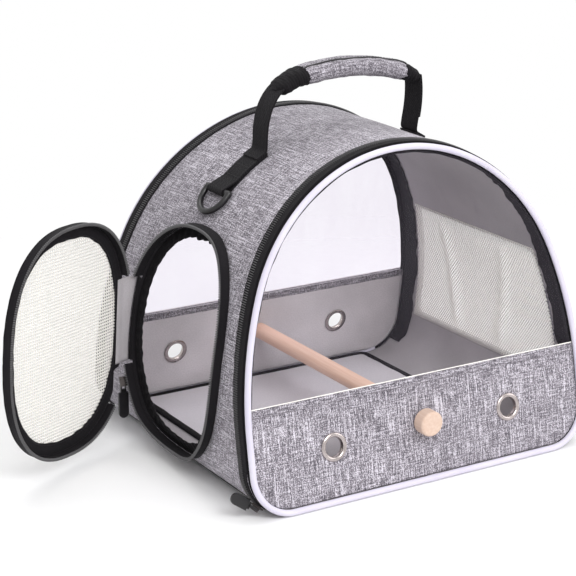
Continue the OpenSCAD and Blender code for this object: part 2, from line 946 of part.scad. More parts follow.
module door_puller() {
  color(black) at_door_slider() translate([0, 0, 3.2]) rotate([0, -90 - flank_a, 0])
    puller_body(9.3, 34, 8, 90);
}

// Places a child at a slider on the bottom left corner of the front rim: local Z outward,
// local X up along the chain, local Y across it
slider_a = 226;
slider_lift = chain_top + 0.35;
module at_front_slider() {
  translate([corner_r - half_w, corner_r * slope - half_d + chain_y0 + chain_w / 2, corner_r])
    rotate([-lean, 0, 0]) rotate([0, 90 - slider_a, 0])
      translate([0, 0, corner_r + slider_lift]) children();
}

module front_slider() {
  color(metal) at_front_slider() slider_body();
}

module front_puller() {
  color(black) at_front_slider() translate([0, 0, 3.2]) rotate([0, -98, 0]) puller_body(10, 25, 6, 0);
}

module back_slider() {
  mirror([1, 0, 0]) to_back() front_slider();
}

module back_puller() {
  mirror([1, 0, 0]) to_back() front_puller();
}

outer_shell();
wall_board();
inner_lining();
floor_board();
floor_binding();
base_piping();
front_rim_zip();
back_rim_zip();
front_rim_tape();
back_rim_tape();
door_collar();
collar_teeth_row();
opening_binding();
hinge_flap();
right_mesh();
roof_straps();
front_band();
front_band_board();
front_window();
front_edge_tape();
front_zip_skirt();
front_piping();
front_eyelets();
perch_screw();
perch_washer();
perch_dowel();
perch_knob();
back_band();
back_band_board();
back_window();
back_edge_tape();
back_zip_skirt();
back_piping();
back_eyelets();
door_frame();
door_net();
door_slider();
door_puller();
left_strap();
right_strap();
handle_grip();
handle_cuffs();
left_d_ring();
right_d_ring();
front_slider();
front_puller();
back_slider();
back_puller();
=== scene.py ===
"""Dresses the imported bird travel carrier: cloth, tape, zips, net, clear film, piping, webbing and wood.

Every shape is worked out in millimetres, in the frame of the CAD part, and put into the mesh in metres.
"""
import math

import bmesh
import bpy
import numpy as np
from mathutils import Matrix, Vector


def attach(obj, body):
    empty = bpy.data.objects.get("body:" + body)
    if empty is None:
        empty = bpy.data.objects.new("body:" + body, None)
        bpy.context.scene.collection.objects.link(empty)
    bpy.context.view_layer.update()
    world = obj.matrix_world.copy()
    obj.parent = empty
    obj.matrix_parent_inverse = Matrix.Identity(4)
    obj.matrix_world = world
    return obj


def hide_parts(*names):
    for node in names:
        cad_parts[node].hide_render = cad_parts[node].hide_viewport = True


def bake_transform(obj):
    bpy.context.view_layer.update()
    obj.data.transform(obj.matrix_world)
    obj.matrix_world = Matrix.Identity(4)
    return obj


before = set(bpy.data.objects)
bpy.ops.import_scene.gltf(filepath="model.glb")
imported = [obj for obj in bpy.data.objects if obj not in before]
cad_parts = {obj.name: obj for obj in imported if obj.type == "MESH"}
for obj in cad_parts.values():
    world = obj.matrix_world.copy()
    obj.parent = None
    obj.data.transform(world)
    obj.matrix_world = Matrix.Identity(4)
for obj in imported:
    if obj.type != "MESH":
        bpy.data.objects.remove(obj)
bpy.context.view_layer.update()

bl_info = {
    "name": "Bird travel carrier",
    "version": (1, 0, 0),
    "blender": (4, 5, 0),
    "location": "3D View > Sidebar > Carrier",
    "description": "Cloth, zips, net, film and webbing of an arched fabric bird carrier",
    "category": "Object",
}

M = 0.001
TAU = 2 * math.pi


def tint(r, g, b):
    """A display colour of 0 to 255 as the linear colour that shaders read."""
    return tuple(((c / 255 + 0.055) / 1.055) ** 2.4 if c > 10 else c / 3294.6 for c in (r, g, b))


# ---------------------------------------------------------------- sizes and colours


def length_prop(name, description, mm, low, high):
    return bpy.props.FloatProperty(name=name, description=description, default=mm * M, min=low * M,
                                   max=high * M, subtype="DISTANCE", unit="LENGTH", precision=4)


def colour_prop(name, description, rgb):
    return bpy.props.FloatVectorProperty(name=name, description=description, default=tint(*rgb), min=0,
                                         max=1, size=3, subtype="COLOR")


class CarrierSizes(bpy.types.PropertyGroup):
    """Sizes that the carrier's surfaces follow."""
    body_w: length_prop("Width", "Width of the tunnel", 340, 320, 360)
    body_h: length_prop("Height", "Height of the tunnel at its crown", 282, 270, 296)
    body_d: length_prop("Depth", "Depth of the base", 298, 280, 330)
    lean: bpy.props.FloatProperty(name="Lean", description="Lean of each end panel",
                                  default=math.radians(10.5), min=0.1, max=0.25, subtype="ANGLE")
    wall_h: length_prop("Upright wall", "Height of the upright part of the walls", 65, 50, 80)
    side_r: length_prop("Side radius", "Radius of the curved part of each wall", 322, 290, 360)
    corner_r: length_prop("Corner radius", "Radius of the bottom corners", 38, 30, 46)
    band_h: length_prop("Band height", "Height of the fabric band", 90, 80, 110)
    piping_r: length_prop("Piping radius", "Radius of the white piping", 2.7, 2, 3.2)
    rib_pitch: length_prop("Zip pitch", "Distance from one zip tooth to the next", 1.9, 1.4, 3)
    door_a: length_prop("Door half width", "Half width of the oval door", 80, 72, 82)
    door_b: length_prop("Door half height", "Half height of the oval door", 98, 90, 100)
    door_z: length_prop("Door height", "Height of the middle of the oval", 112, 108, 116)
    net_pitch: length_prop("Net pitch", "Distance between the threads of the door net", 2.8, 2, 5)
    web_w: length_prop("Webbing width", "Width of the handle webbing", 25, 20, 26)
    eyelet_x: length_prop("Eyelet distance", "Distance of each eyelet from the middle", 89, 70, 100)
    eyelet_z: length_prop("Eyelet height", "Height of the eyelets", 47, 40, 52)
    floor_w: length_prop("Floor width", "Width of the floor pad", 252, 230, 256)


class CarrierColours(bpy.types.PropertyGroup):
    """Colours of the carrier's finishes."""
    heather: colour_prop("Heather", "Middle tone of the outer cloth", (132, 126, 134))
    heather_dark: colour_prop("Heather dark", "Dark threads of the outer cloth", (66, 62, 71))
    heather_light: colour_prop("Heather light", "Light threads of the outer cloth", (222, 217, 227))
    lining: colour_prop("Lining", "Inner cloth", (240, 233, 238))
    black: colour_prop("Black tape", "Tapes, webbing and bindings", (20, 18, 21))
    piping: colour_prop("Piping", "Cord round each end", (216, 212, 224))
    net: colour_prop("Net", "Mesh of the door and the side window", (254, 251, 245))
    pad: colour_prop("Floor pad", "Top of the floor pad", (212, 208, 213))
    metal: colour_prop("Metal", "Eyelets, sliders and screw", (196, 186, 184))
    wood: colour_prop("Perch", "Perch and knob", (254, 216, 195))


# ---------------------------------------------------------------- outline of the body


class Form:
    """The tunnel's form. Its outline is a run of arcs, each a length and a curvature, that starts in the
    middle of the base, goes to the right and comes back over the crown: heading is the curvature summed
    along the outline, and the point is the heading summed in turn."""

    def __init__(self, size):
        for name in size.__annotations__:
            value = getattr(size, name)
            setattr(self, name, value if name == "lean" else value / M)
        self.slope = math.tan(self.lean)
        self.half_w, self.half_d = self.body_w / 2, self.body_d / 2
        self.side_cx = self.half_w - self.side_r
        rise = self.body_h - self.wall_h
        self.crown_r = (rise ** 2 + self.side_cx ** 2 - self.side_r ** 2) / (2 * (rise - self.side_r))
        self.crown_z = self.body_h - self.crown_r
        join = math.atan2(self.crown_z - self.wall_h, -self.side_cx)
        half = [(self.half_w - self.corner_r, 0), (self.corner_r * math.pi / 2, 1 / self.corner_r),
                (self.wall_h - self.corner_r, 0), (self.side_r * join, 1 / self.side_r),
                (self.crown_r * (math.pi / 2 - join), 1 / self.crown_r)]
        runs = np.array(half + half[::-1])
        self.run_s = np.concatenate([[0], np.cumsum(runs[:, 0])])
        self.run_k = runs[:, 1]
        self.run_h = np.concatenate([[0], np.cumsum(runs[:, 0] * runs[:, 1])])
        self.length = self.run_s[-1]
        straight = runs[:, 1] == 0
        k = np.where(straight, 1, runs[:, 1])
        h0, h1 = self.run_h[:-1], self.run_h[1:]
        dx = np.where(straight, runs[:, 0] * np.cos(h0), (np.sin(h1) - np.sin(h0)) / k)
        dz = np.where(straight, runs[:, 0] * np.sin(h0), (np.cos(h0) - np.cos(h1)) / k)
        self.run_x = np.concatenate([[0], np.cumsum(dx)])
        self.run_z = np.concatenate([[0], np.cumsum(dz)])
        self.table_s = np.linspace(self.run_s[1], self.length / 2, 4000)
        self.table_z = self.at(self.table_s)[1]

    def at(self, s, off=0.0):
        """Point x, z of the outline at length s, moved out by off, and its outward normal."""
        s = np.mod(s, self.length)
        i = np.clip(np.searchsorted(self.run_s, s, side="right") - 1, 0, len(self.run_k) - 1)
        d, k, h0 = s - self.run_s[i], self.run_k[i], self.run_h[i]
        h, straight = h0 + k * d, k == 0
        safe = np.where(straight, 1, k)
        x = self.run_x[i] + np.where(straight, d * np.cos(h0), (np.sin(h) - np.sin(h0)) / safe)
        z = self.run_z[i] + np.where(straight, d * np.sin(h0), (np.cos(h0) - np.cos(h)) / safe)
        nx, nz = np.sin(h), -np.cos(h)
        return x + off * nx, z + off * nz, nx, nz

    def s_at(self, z, left=False):
        """Length along the outline at a height on the right wall, or on the left one."""
        s = np.interp(z, self.table_z, self.table_s)
        return self.length - s if left else s

    def half_width(self, z, off=0.0):
        """Half width of the outline at a height: corner, upright, side or crown arc, moved out by off."""
        z = np.asarray(z, float)
        corner = self.half_w - self.corner_r + np.sqrt(
            np.clip((self.corner_r + off) ** 2 - (self.corner_r - z) ** 2, 0, None))
        side = self.side_cx + np.sqrt(np.clip((self.side_r + off) ** 2 - (z - self.wall_h) ** 2, 0, None))
        crown = np.sqrt(np.clip((self.crown_r + off) ** 2 - (z - self.crown_z) ** 2, 0, None))
        join_z = self.run_z[4]
        return np.where(z < self.corner_r, corner, np.where(
            z < self.wall_h, self.half_w + off, np.where(z < join_z, side, crown)))

    def end_y(self, z, back):
        """Half depth of the tunnel at a height, back behind the plane of the panel."""
        return self.half_d - back - z * self.slope

    def front(self, x, z, c):
        """Points in or behind the front plane."""
        return level(x, c - self.half_d + z * self.slope, z)


# ---------------------------------------------------------------- mesh helpers


WAVES = 9   # sine waves in a field


def wave_field(u, v, seed, size):
    """A smooth uneven height from -1 to 1: a sum of sine waves with seeded directions, lengths near size
    and starts."""
    rng = np.random.default_rng(seed)
    total = np.zeros(np.broadcast(u, v).shape)
    for _ in range(WAVES):
        a, l, p = rng.uniform(0, math.pi), size * rng.uniform(0.6, 1.7), rng.uniform(0, TAU)
        total = total + np.sin((np.cos(a) * u + np.sin(a) * v) * TAU / l + p)
    return total / math.sqrt(WAVES) / 1.6


def smooth(x, a, b):
    """0 below a, 1 above b, an S curve between."""
    t = np.clip((x - a) / (b - a), 0, 1)
    return t * t * (3 - 2 * t)


def unit(v):
    return v / np.maximum(np.linalg.norm(v, axis=-1, keepdims=True), 1e-12)


def cells(nu, nv, close_u=False, close_v=False):
    """Corner numbers of the cells of a grid of nu by nv points, and the grid place of each corner."""
    iu = np.arange(nu if close_u else nu - 1)[:, None]
    iv = np.arange(nv if close_v else nv - 1)[None, :]
    iu, iv = [a.ravel() for a in np.broadcast_arrays(iu, iv)]
    place = np.stack([np.stack([iu, iv], -1), np.stack([iu + 1, iv], -1),
                      np.stack([iu + 1, iv + 1], -1), np.stack([iu, iv + 1], -1)], 1)
    return (place[..., 0] % nu) * nv + place[..., 1] % nv, place


class Parts:
    """Collects points and faces of a piece: points (N, 3) in mm, faces (F, 3 or 4), uv (F, corners, 2) in
    mm."""

    def __init__(self):
        self.points, self.loops, self.sizes, self.uvs, self.count = [], [], [], [], 0

    def add(self, points, faces, uv=None, flip=False):
        points = np.asarray(points, float).reshape(-1, 3)
        if uv is None:
            uv = points[faces][..., :2]
        if flip:
            faces, uv = faces[:, ::-1], uv[:, ::-1]
        self.points.append(points)
        self.loops.append((faces + self.count).ravel())
        self.uvs.append(np.asarray(uv, float).reshape(-1, 2))
        self.sizes.append(np.full(len(faces), faces.shape[1]))
        self.count += len(points)
        return self

    def grid(self, points, u, v, close_u=False, close_v=False, flip=False):
        """Points (nu, nv, 3); u and v are the lengths along each way, one longer where it closes."""
        nu, nv = points.shape[:2]
        faces, place = cells(nu, nv, close_u, close_v)
        uv = np.stack([np.asarray(u)[place[..., 0]], np.asarray(v)[place[..., 1]]], -1)
        return self.add(points, faces, uv, flip)

    def cap(self, ring, flip=False):
        """Closes a ring of points with a fan round its middle, sharing no point with the ring's tube."""
        n = len(ring)
        i = np.arange(n)
        faces = np.stack([i, (i + 1) % n, np.full(n, n)], -1)
        return self.add(np.concatenate([ring, ring.mean(0)[None]]), faces, flip=flip)

    def tube(self, points, u, v):
        """A grid that closes across v, with a cap at both ends."""
        return self.grid(points, u, v, close_v=True).cap(points[0], flip=True).cap(points[-1])

    def torus(self, points, even, total, section):
        """A grid that closes both ways, from a section carried round a loop of the total length."""
        return self.grid(points, np.append(even, total), lengths(section, True), True, True)

    def object(self, name, look, mirror_y=False, sharp=None, weld=True):
        """The mesh object in a finish, with its uv map 'cloth' in metres. A mirrored piece has its faces
        turned."""
        points = np.concatenate(self.points) * M
        loops, sizes = np.concatenate(self.loops), np.concatenate(self.sizes)
        uv = np.concatenate(self.uvs) * M
        starts = np.concatenate([[0], np.cumsum(sizes)[:-1]])
        if mirror_y:
            points = points * [1, -1, 1]
            turn = np.repeat(starts + sizes - 1, sizes) - (np.arange(len(loops)) - np.repeat(starts, sizes))
            loops, uv = loops[turn], uv[turn]
        mesh = bpy.data.meshes.new(name)
        mesh.vertices.add(len(points))
        mesh.vertices.foreach_set("co", points.astype(np.float32).ravel())
        mesh.loops.add(len(loops))
        mesh.loops.foreach_set("vertex_index", loops.astype(np.int32))
        mesh.polygons.add(len(starts))
        mesh.polygons.foreach_set("loop_start", starts.astype(np.int32))
        mesh.polygons.foreach_set("use_smooth", np.ones(len(starts), bool))
        mesh.update(calc_edges=True)
        layer = mesh.uv_layers.new(name="cloth")
        layer.data.foreach_set("uv", uv.astype(np.float32).ravel())
        mesh.validate()
        if weld:
            work = bmesh.new()
            work.from_mesh(mesh)
            bmesh.ops.remove_doubles(work, verts=work.verts, dist=1e-6)
            work.to_mesh(mesh)
            work.free()
        if sharp:
            mesh.set_sharp_from_angle(angle=math.radians(sharp))
        mesh.materials.append(finish(look) if isinstance(look, str) else look)
        obj = bpy.data.objects.new(name, mesh)
        bpy.context.scene.collection.objects.link(obj)
        return obj


def lengths(points, closed=False):
    """Length along a line of points, with the way back to the start added where it closes."""
    p = np.concatenate([points, points[:1]]) if closed else points
    return np.concatenate([[0], np.cumsum(np.linalg.norm(np.diff(p, axis=0), axis=1))])


def sweep(parts, path, side, up, profile, closed=False, flip=False):
    """A closed profile carried along a path: point = path + a * side + b * up for each a, b of the profile,
    which may change from station to station. The faces point outwards when the profile runs against the
    clock seen along the path with side to the right and up upwards; flip turns them."""
    path = np.asarray(path, float)
    side, up = np.broadcast_to(side, path.shape), np.broadcast_to(up, path.shape)
    profile = np.broadcast_to(profile, (len(path),) + np.shape(profile)[-2:])
    points = (path[:, None] + profile[..., :1] * side[:, None] + profile[..., 1:] * up[:, None])
    parts.grid(points, lengths(path, closed), lengths(profile[0], True), closed, True, flip)
    if not closed:
        parts.cap(points[0], not flip).cap(points[-1], flip)
    return parts


def carried(section, n):
    """A section of (m, 2) repeated for n stations, as an array of its own that waves may be added to."""
    return np.broadcast_to(section, (n,) + section.shape).copy()


def ripple(s, seed, size):
    """A slow wave along a line, the same all across it, as a column."""
    return wave_field(s, s * 0, seed, size)[:, None]


def nearest(values, x):
    return int(np.argmin(np.abs(values - x)))


def level(x, y, z):
    """Points from x, y and z, where a plain number stands for a whole row of it."""
    return np.stack(np.broadcast_arrays(x, y, z), -1)


def evenly(loop, even, s):
    """Points of a line of (N, 2) at the lengths in even, where s holds the length of each of its points."""
    return np.stack([np.interp(even, s, loop[:, k]) for k in (0, 1)], -1)


def loop_normals(q):
    """Normals, to the right of the way round, of a closed line of (N, 2)."""
    d = unit(np.roll(q, -1, 0) - np.roll(q, 1, 0))
    return np.stack([d[:, 1], -d[:, 0]], -1)


def superellipse(t, a, b, power):
    """Points a * |cos t|^power, b * |sin t|^power with the signs of cos t and sin t."""
    c, d = np.cos(t), np.sin(t)
    return np.stack([a * np.sign(c) * np.abs(c) ** power, b * np.sign(d) * np.abs(d) ** power], -1)


def arc_points(a, x, z, rx, rz):
    """Points of an ellipse round x, z at the angles a."""
    return np.stack([x + rx * np.cos(a), z + rz * np.sin(a)], -1)


def rounded_corners(w, d, r, n):
    """The four corner arcs of a rectangle w by d, of n points each, against the clock."""
    corner = arc_points(np.linspace(0, math.pi / 2, n), 0, 0, r, r)
    return np.concatenate([corner + [w / 2 - r, d / 2 - r], (corner * [-1, 1])[::-1] + [r - w / 2, d / 2 - r],
                           -corner + [r - w / 2, r - d / 2], (corner * [1, -1])[::-1] + [w / 2 - r, r - d / 2]])


def rounded_box(w, t, n=4, r=None):
    """Profile of a flat strip with rounded edges, w wide and t thick, against the clock."""
    return rounded_corners(w, t, min(w, t) / 2 * 0.98 if r is None else r, n)


def strip_profile(w, t, across=8, r=None):
    """The same strip with extra points on its two flat sides, so that it can bend or pucker."""
    box = rounded_box(w, t, 3, r)
    top = np.linspace(box[2], box[3], across + 2)[1:-1]
    low = np.linspace(box[8], box[9], across + 2)[1:-1]
    return np.concatenate([box[:3], top, box[3:9], low, box[9:]])


def holed_grid(us, vs, holes):
    """Points (N, 2) and cells of a grid over us by vs. Each hole is (i0, i1, j0, j1, edge, rings): the
    block of cells from i0 to i1 by j0 to j1 is left out, and rings of cells fill the room between the
    block's border and the points that edge(border) puts on the hole's own outline."""
    nu, nv = len(us), len(vs)
    grid = np.stack(np.meshgrid(us, vs, indexing="ij"), -1).reshape(-1, 2)
    faces, place = cells(nu, nv)
    keep = np.ones(len(faces), bool)
    points, extra, count = [grid], [], len(grid)
    for i0, i1, j0, j1, edge, rings in holes:
        cell = place[:, 0]
        keep &= ~((cell[:, 0] >= i0) & (cell[:, 0] < i1) & (cell[:, 1] >= j0) & (cell[:, 1] < j1))
        a, b = np.arange(i0, i1), np.arange(j0, j1)
        border = np.concatenate([a * nv + j0, i1 * nv + b, np.arange(i1, i0, -1) * nv + j1,
                                 i0 * nv + np.arange(j1, j0, -1)])
        outer = grid[border]
        inner = edge(outer)
        previous = border
        m = len(border)
        for k in range(1, rings + 1):
            w = (k / rings) ** 0.9
            points.append(outer * (1 - w) + inner * w)
            ring = count + np.arange(m)
            count += m
            nxt = np.roll(np.arange(m), -1)
            extra.append(np.stack([previous, previous[nxt], ring[nxt], ring], -1))
            previous = ring
    return np.concatenate(points), np.concatenate([faces[keep]] + extra)


OVAL_K = 0.83


def oval_reach(y, z, a, b):
    """How far along the ray through y, z the oval's edge lies, as a factor: a superellipse."""
    p = 2 / OVAL_K
    return (np.abs(y / a) ** p + np.abs(z / b) ** p) ** (-1 / p)


def oval_loop(a, b, n):
    """n points evenly along a superellipse, with outward normals, from its +y side against the clock."""
    p = superellipse(np.linspace(0, TAU, 7201), a, b, OVAL_K)
    s = lengths(p)
    even = np.linspace(0, s[-1], n, endpoint=False)
    q = evenly(p, even, s)
    return q, loop_normals(q), even, s[-1]


def repeated(faces, n, step):
    """The faces of n copies of a form that has step points."""
    return (faces[None] + (np.arange(n) * step)[:, None, None]).reshape(-1, faces.shape[1])


def beads(parts, centre, along, across, up, local, quads, tris=None):
    """Copies of a small form of local points, one on each row of centre, turned to that row's directions."""
    points = (centre[:, None] + local[:, :1] * across[:, None] + local[:, 1:2] * along[:, None]
              + local[:, 2:] * up[:, None]).reshape(-1, 3)
    parts.add(points, repeated(quads, len(centre), len(local)))
    if tris is not None:
        tris = repeated(tris, len(centre), len(local))
        parts.add(np.zeros((0, 3)), tris - len(points), points[tris][..., :2])
    return parts


def ribs(parts, centre, along, across, up, length, width, height):
    """A row of zip teeth: each a half round bar of five corners in section, lying across the tape, with
    drawn-in ends. centre, along, across and up are one row for each tooth."""
    a = np.linspace(0, math.pi, 5)
    place = np.array([-0.5, -0.36, 0.36, 0.5])[:, None]
    grow = np.array([0.55, 1.0, 1.0, 0.55])[:, None]
    local = np.stack([place * length * np.ones(5), grow * (np.cos(a) * width / 2), grow * (np.sin(a) * height)],
                     -1).reshape(-1, 3)
    faces, _ = cells(4, 5)
    under = np.array([[4, 9, 5, 0], [9, 14, 10, 5], [14, 19, 15, 10]])
    quads = np.concatenate([faces[:, ::-1], under, [[4, 3, 2, 1], [15, 16, 17, 18]]])
    return beads(parts, centre, along, across, up, local, quads, np.array([[4, 1, 0], [15, 18, 19]]))


def stitches(parts, path, up, step, long, thick, lift):
    """A row of stitches on a path: each a short bead, six-sided, along the path and sunk at both ends."""
    s = lengths(path)
    mid = np.arange(step / 2, s[-1], step)
    if not len(mid):
        return parts
    up = np.broadcast_to(up, path.shape)
    pick = lambda values, at: np.stack([np.interp(at, s, values[:, i]) for i in range(3)], -1)
    centre, top = pick(path, mid), unit(pick(up, mid))
    along = unit(pick(path, mid + long / 4) - pick(path, mid - long / 4))
    side = unit(np.cross(top, along))
    a = np.linspace(0, TAU, 6, endpoint=False)
    place, grow, rise = np.array([[-0.5, -0.3, 0.0, 0.3, 0.5], [0.25, 0.9, 1.0, 0.9, 0.25],
                                  [-0.35, 0.0, 0.15, 0.0, -0.35]])[..., None]
    local = np.stack([place * long * np.ones(6), grow * np.cos(a) * thick / 2,
                      grow * np.sin(a) * thick / 2 + rise * thick + lift], -1).reshape(-1, 3)
    faces, _ = cells(5, 6, close_v=True)
    ends = [[3, 2, 1, 0], [5, 4, 3, 0], [24, 25, 26, 27], [24, 27, 28, 29]]
    return beads(parts, centre, side, along, top, local, np.concatenate([faces, ends]))


def turn_out(obj):
    """Turns the faces of a closed shell outwards, after its doubles are merged."""
    work = bmesh.new()
    work.from_mesh(obj.data)
    bmesh.ops.recalc_face_normals(work, faces=work.faces)
    work.to_mesh(obj.data)
    work.free()
    return obj


def finish_piece(obj, body, slot, *replaced):
    """Makes a piece ride on its body and hides the CAD nodes that it stands for; slot is not used."""
    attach(obj, body)
    if replaced:
        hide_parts(*replaced)
    return obj


def shell_piece(parts, name, look, body, slot, *replaced, **more):
    """A piece of closed shells, its faces turned outwards."""
    return finish_piece(turn_out(parts.object(name, look, **more)), body, slot, *replaced)


def thicken(obj, mm, way):
    """Gives a sheet its thickness: below its faces for -1, to both sides for 0, above them for 1."""
    solid = obj.modifiers.new("thickness", "SOLIDIFY")
    solid.thickness, solid.offset = mm * M, way
    return obj


# ---------------------------------------------------------------- finishes


class Graph:
    """Short calls that add nodes to a tree and join them. A source is a socket or a plain value."""

    def __init__(self, tree):
        self.tree = tree

    def put(self, kind, sources=None, **settings):
        node = self.tree.nodes.new(kind)
        for name, value in settings.items():
            setattr(node, name, value)
        for socket, source in (sources or {}).items():
            if isinstance(source, bpy.types.NodeSocket):
                self.tree.links.new(source, node.inputs[socket])
            elif source is not None:
                node.inputs[socket].default_value = source
        return node

    def feed(self, node, **sources):
        """Joins sockets to a node by the names of its inputs, with _ for a space."""
        for name, source in sources.items():
            self.tree.links.new(source, node.inputs[name.replace("_", " ")])

    def math(self, kind, a, b=None, clamp=False):
        return self.put("ShaderNodeMath", {0: a, 1: b}, operation=kind, use_clamp=clamp).outputs[0]

    def times(self, a, b):
        return self.math("MULTIPLY", a, b)

    def add(self, a, *more, clamp=False):
        """The sum of all sources, held between 0 and 1 at the end if clamp is set."""
        for b in more[:-1]:
            a = self.math("ADD", a, b)
        return self.math("ADD", a, more[-1], clamp=clamp)

    def swing(self, source, gain):
        """A value round 0.5 as one round 0, times a gain."""
        return self.times(self.math("SUBTRACT", source, 0.5), gain)

    def wave(self, source, period):
        return self.math("SINE", self.times(source, TAU / period))

    def scaled(self, vector, scale):
        return self.put("ShaderNodeVectorMath", {0: vector, 1: scale}, operation="MULTIPLY").outputs[0]

    def parted(self, vector):
        return self.put("ShaderNodeSeparateXYZ", {0: vector}).outputs

    def noise(self, vector, scale, detail=2.0, rough=0.5):
        return self.put("ShaderNodeTexNoise", {"Vector": vector, "Scale": scale, "Detail": detail,
                                               "Roughness": rough}).outputs["Fac"]

    def threads(self, vector, u, v, detail=2.0, w=1):
        """Noise drawn out along one way: u, v and w are its counts per metre."""
        return self.noise(self.scaled(vector, (u, v, w)), 1, detail)

    def mix(self, share, a, b):
        return self.put("ShaderNodeMix", {0: share, 6: a, 7: b}, data_type="RGBA").outputs[2]

    def fit(self, value, a, b, c=0.0, d=1.0):
        return self.put("ShaderNodeMapRange", {0: value, 1: a, 2: b, 3: c, 4: d}).outputs[0]

    def bump(self, height, strength, distance):
        return self.put("ShaderNodeBump", {"Height": height, "Strength": strength,
                                           "Distance": distance}).outputs[0]

    def group(self, name, **sources):
        """A shared node group, made the first time, with its sources."""
        if name not in GROUPS:
            GROUPS[name] = {"heather": group_heather, "ribs": group_ribs, "wear": group_cloud_marks}[name]()
        return self.put("ShaderNodeGroup", sources, node_tree=GROUPS[name]).outputs

    def cloth(self):
        return self.put("ShaderNodeUVMap", uv_map="cloth").outputs[0]

    def place(self):
        return self.put("ShaderNodeTexCoord").outputs["Object"]

    def wear(self, scale):
        return self.group("wear", Vector=self.place(), Scale=scale)


def shader_group(name, inputs, outputs):
    """A node group with float or vector sockets: the tree, its graph, its input sockets and output node."""
    tree = bpy.data.node_groups.new(name, "ShaderNodeTree")
    kinds = {"f": "NodeSocketFloat", "v": "NodeSocketVector"}
    for label, kind, value in inputs:
        socket = tree.interface.new_socket(name=label, in_out="INPUT", socket_type=kinds[kind])
        if value is not None:
            socket.default_value = value
    for label in outputs:
        tree.interface.new_socket(name=label, in_out="OUTPUT", socket_type=kinds["f"])
    graph = Graph(tree)
    return tree, graph, graph.put("NodeGroupInput").outputs, graph.put("NodeGroupOutput")


def group_heather():
    """Two-way thread cloth: long slubs along v and short ones along u, fine speckle and a thread relief."""
    tree, g, i, out = shader_group("heather_threads", [("Vector", "v", None), ("Slubs", "f", 0.5)],
                                   ["Tone", "Height"])
    uv, slubs = i["Vector"], i["Slubs"]
    warp, weft = g.threads(uv, 1000, 66, 1.0), g.threads(uv, 76, 1000, 1.0)
    dash, speck = g.threads(uv, 1300, 420, 1.0), g.threads(uv, 1500, 1500, 0.0)
    cloud, slub = g.threads(uv, 20, 20), g.threads(uv, 620, 24, 0.0)
    light = g.times(g.fit(slub, 0.66, 0.78), g.fit(slubs, 0, 1, 0.1, 0.5))
    tone = g.add(g.swing(warp, g.fit(slubs, 0, 1, 0.9, 1.7)), g.swing(weft, g.fit(slubs, 0, 1, 1.9, 1.1)),
                 g.swing(dash, 1.7), g.swing(speck, 2.0), light, g.swing(cloud, 0.22), 0.5, clamp=True)
    u, v, _ = g.parted(uv)
    weave = g.times(g.wave(u, 0.0008), g.wave(v, 0.0009))
    g.feed(out, Tone=tone, Height=g.add(g.times(weave, 0.35), warp, weft))
    return tree


def group_ribs():
    """Ribbed or twilled tape: ribs across v at a pitch, slanted by Slant, broken up by fine fibres."""
    tree, g, i, out = shader_group("tape_ribs", [("Vector", "v", None), ("Pitch", "f", 0.001),
                                                 ("Slant", "f", 0.0)], ["Height", "Fibre"])
    u, v, _ = g.parted(i["Vector"])
    run = g.add(u, g.times(v, i["Slant"]))
    rib = g.math("SINE", g.math("DIVIDE", g.times(run, TAU), i["Pitch"]))
    fibre = g.threads(i["Vector"], 700, 700)
    g.feed(out, Height=g.add(g.times(rib, 0.5), g.times(g.wave(v, 0.0011), 0.25), fibre), Fibre=fibre)
    return tree


def group_cloud_marks():
    """Slow unevenness in space: soft clouds and rare small marks, for tone and roughness."""
    tree, g, i, out = shader_group("soft_wear", [("Vector", "v", None), ("Scale", "f", 30.0)],
                                   ["Cloud", "Marks"])
    g.feed(out, Cloud=g.noise(i["Vector"], i["Scale"], 3.0),
           Marks=g.fit(g.noise(i["Vector"], 420.0, 3.0, 0.7), 0.62, 0.75))
    return tree


GROUPS = {}


def new_finish(name, **plain):
    """A material with a Principled shader whose even values stand on its own sockets."""
    material = bpy.data.materials.new(name)
    material.use_nodes = True
    material.node_tree.nodes.clear()
    g = Graph(material.node_tree)
    shader = g.put("ShaderNodeBsdfPrincipled", {key.replace("_", " "): value for key, value in plain.items()})
    g.put("ShaderNodeOutputMaterial", {"Surface": shader.outputs[0]})
    return material, g, shader


def shaded(colour, share=1.0, more=0.0):
    """A colour times a share, or times one share for each channel, as red, green, blue and alpha."""
    return tuple(np.array(colour) * share + more) + (1.0,)


def finish_heather(colours, name, slubs, shade=1.0):
    """Heather cloth: dark, middle and light threads chosen by the thread tone."""
    material, g, shader = new_finish(name, Sheen_Weight=0.15, Sheen_Roughness=0.6, Specular_IOR_Level=0.25)
    threads = g.group("heather", Vector=g.cloth(), Slubs=slubs)
    ramp = g.put("ShaderNodeValToRGB", {0: threads["Tone"]})
    stops = [(0.10, colours.heather_dark), (0.42, colours.heather), (0.62, colours.heather),
             (0.95, colours.heather_light)]
    elements = ramp.color_ramp.elements
    elements[0].position, elements[1].position = stops[0][0], stops[-1][0]
    for place, _ in stops[1:-1]:
        elements.new(place)
    for element, (place, colour) in zip(elements, stops):
        element.position, element.color = place, shaded(colour, shade)
    tone_cloud = g.fit(g.wear(18.0)["Cloud"], 0.3, 0.7, 0.0, 0.22)
    g.feed(shader, Base_Color=g.mix(tone_cloud, ramp.outputs[0], shaded(colours.heather, 0.8 * shade)),
           Roughness=g.fit(threads["Tone"], 0, 1, 0.92, 0.74), Normal=g.bump(threads["Height"], 0.35, 0.0004))
    return material


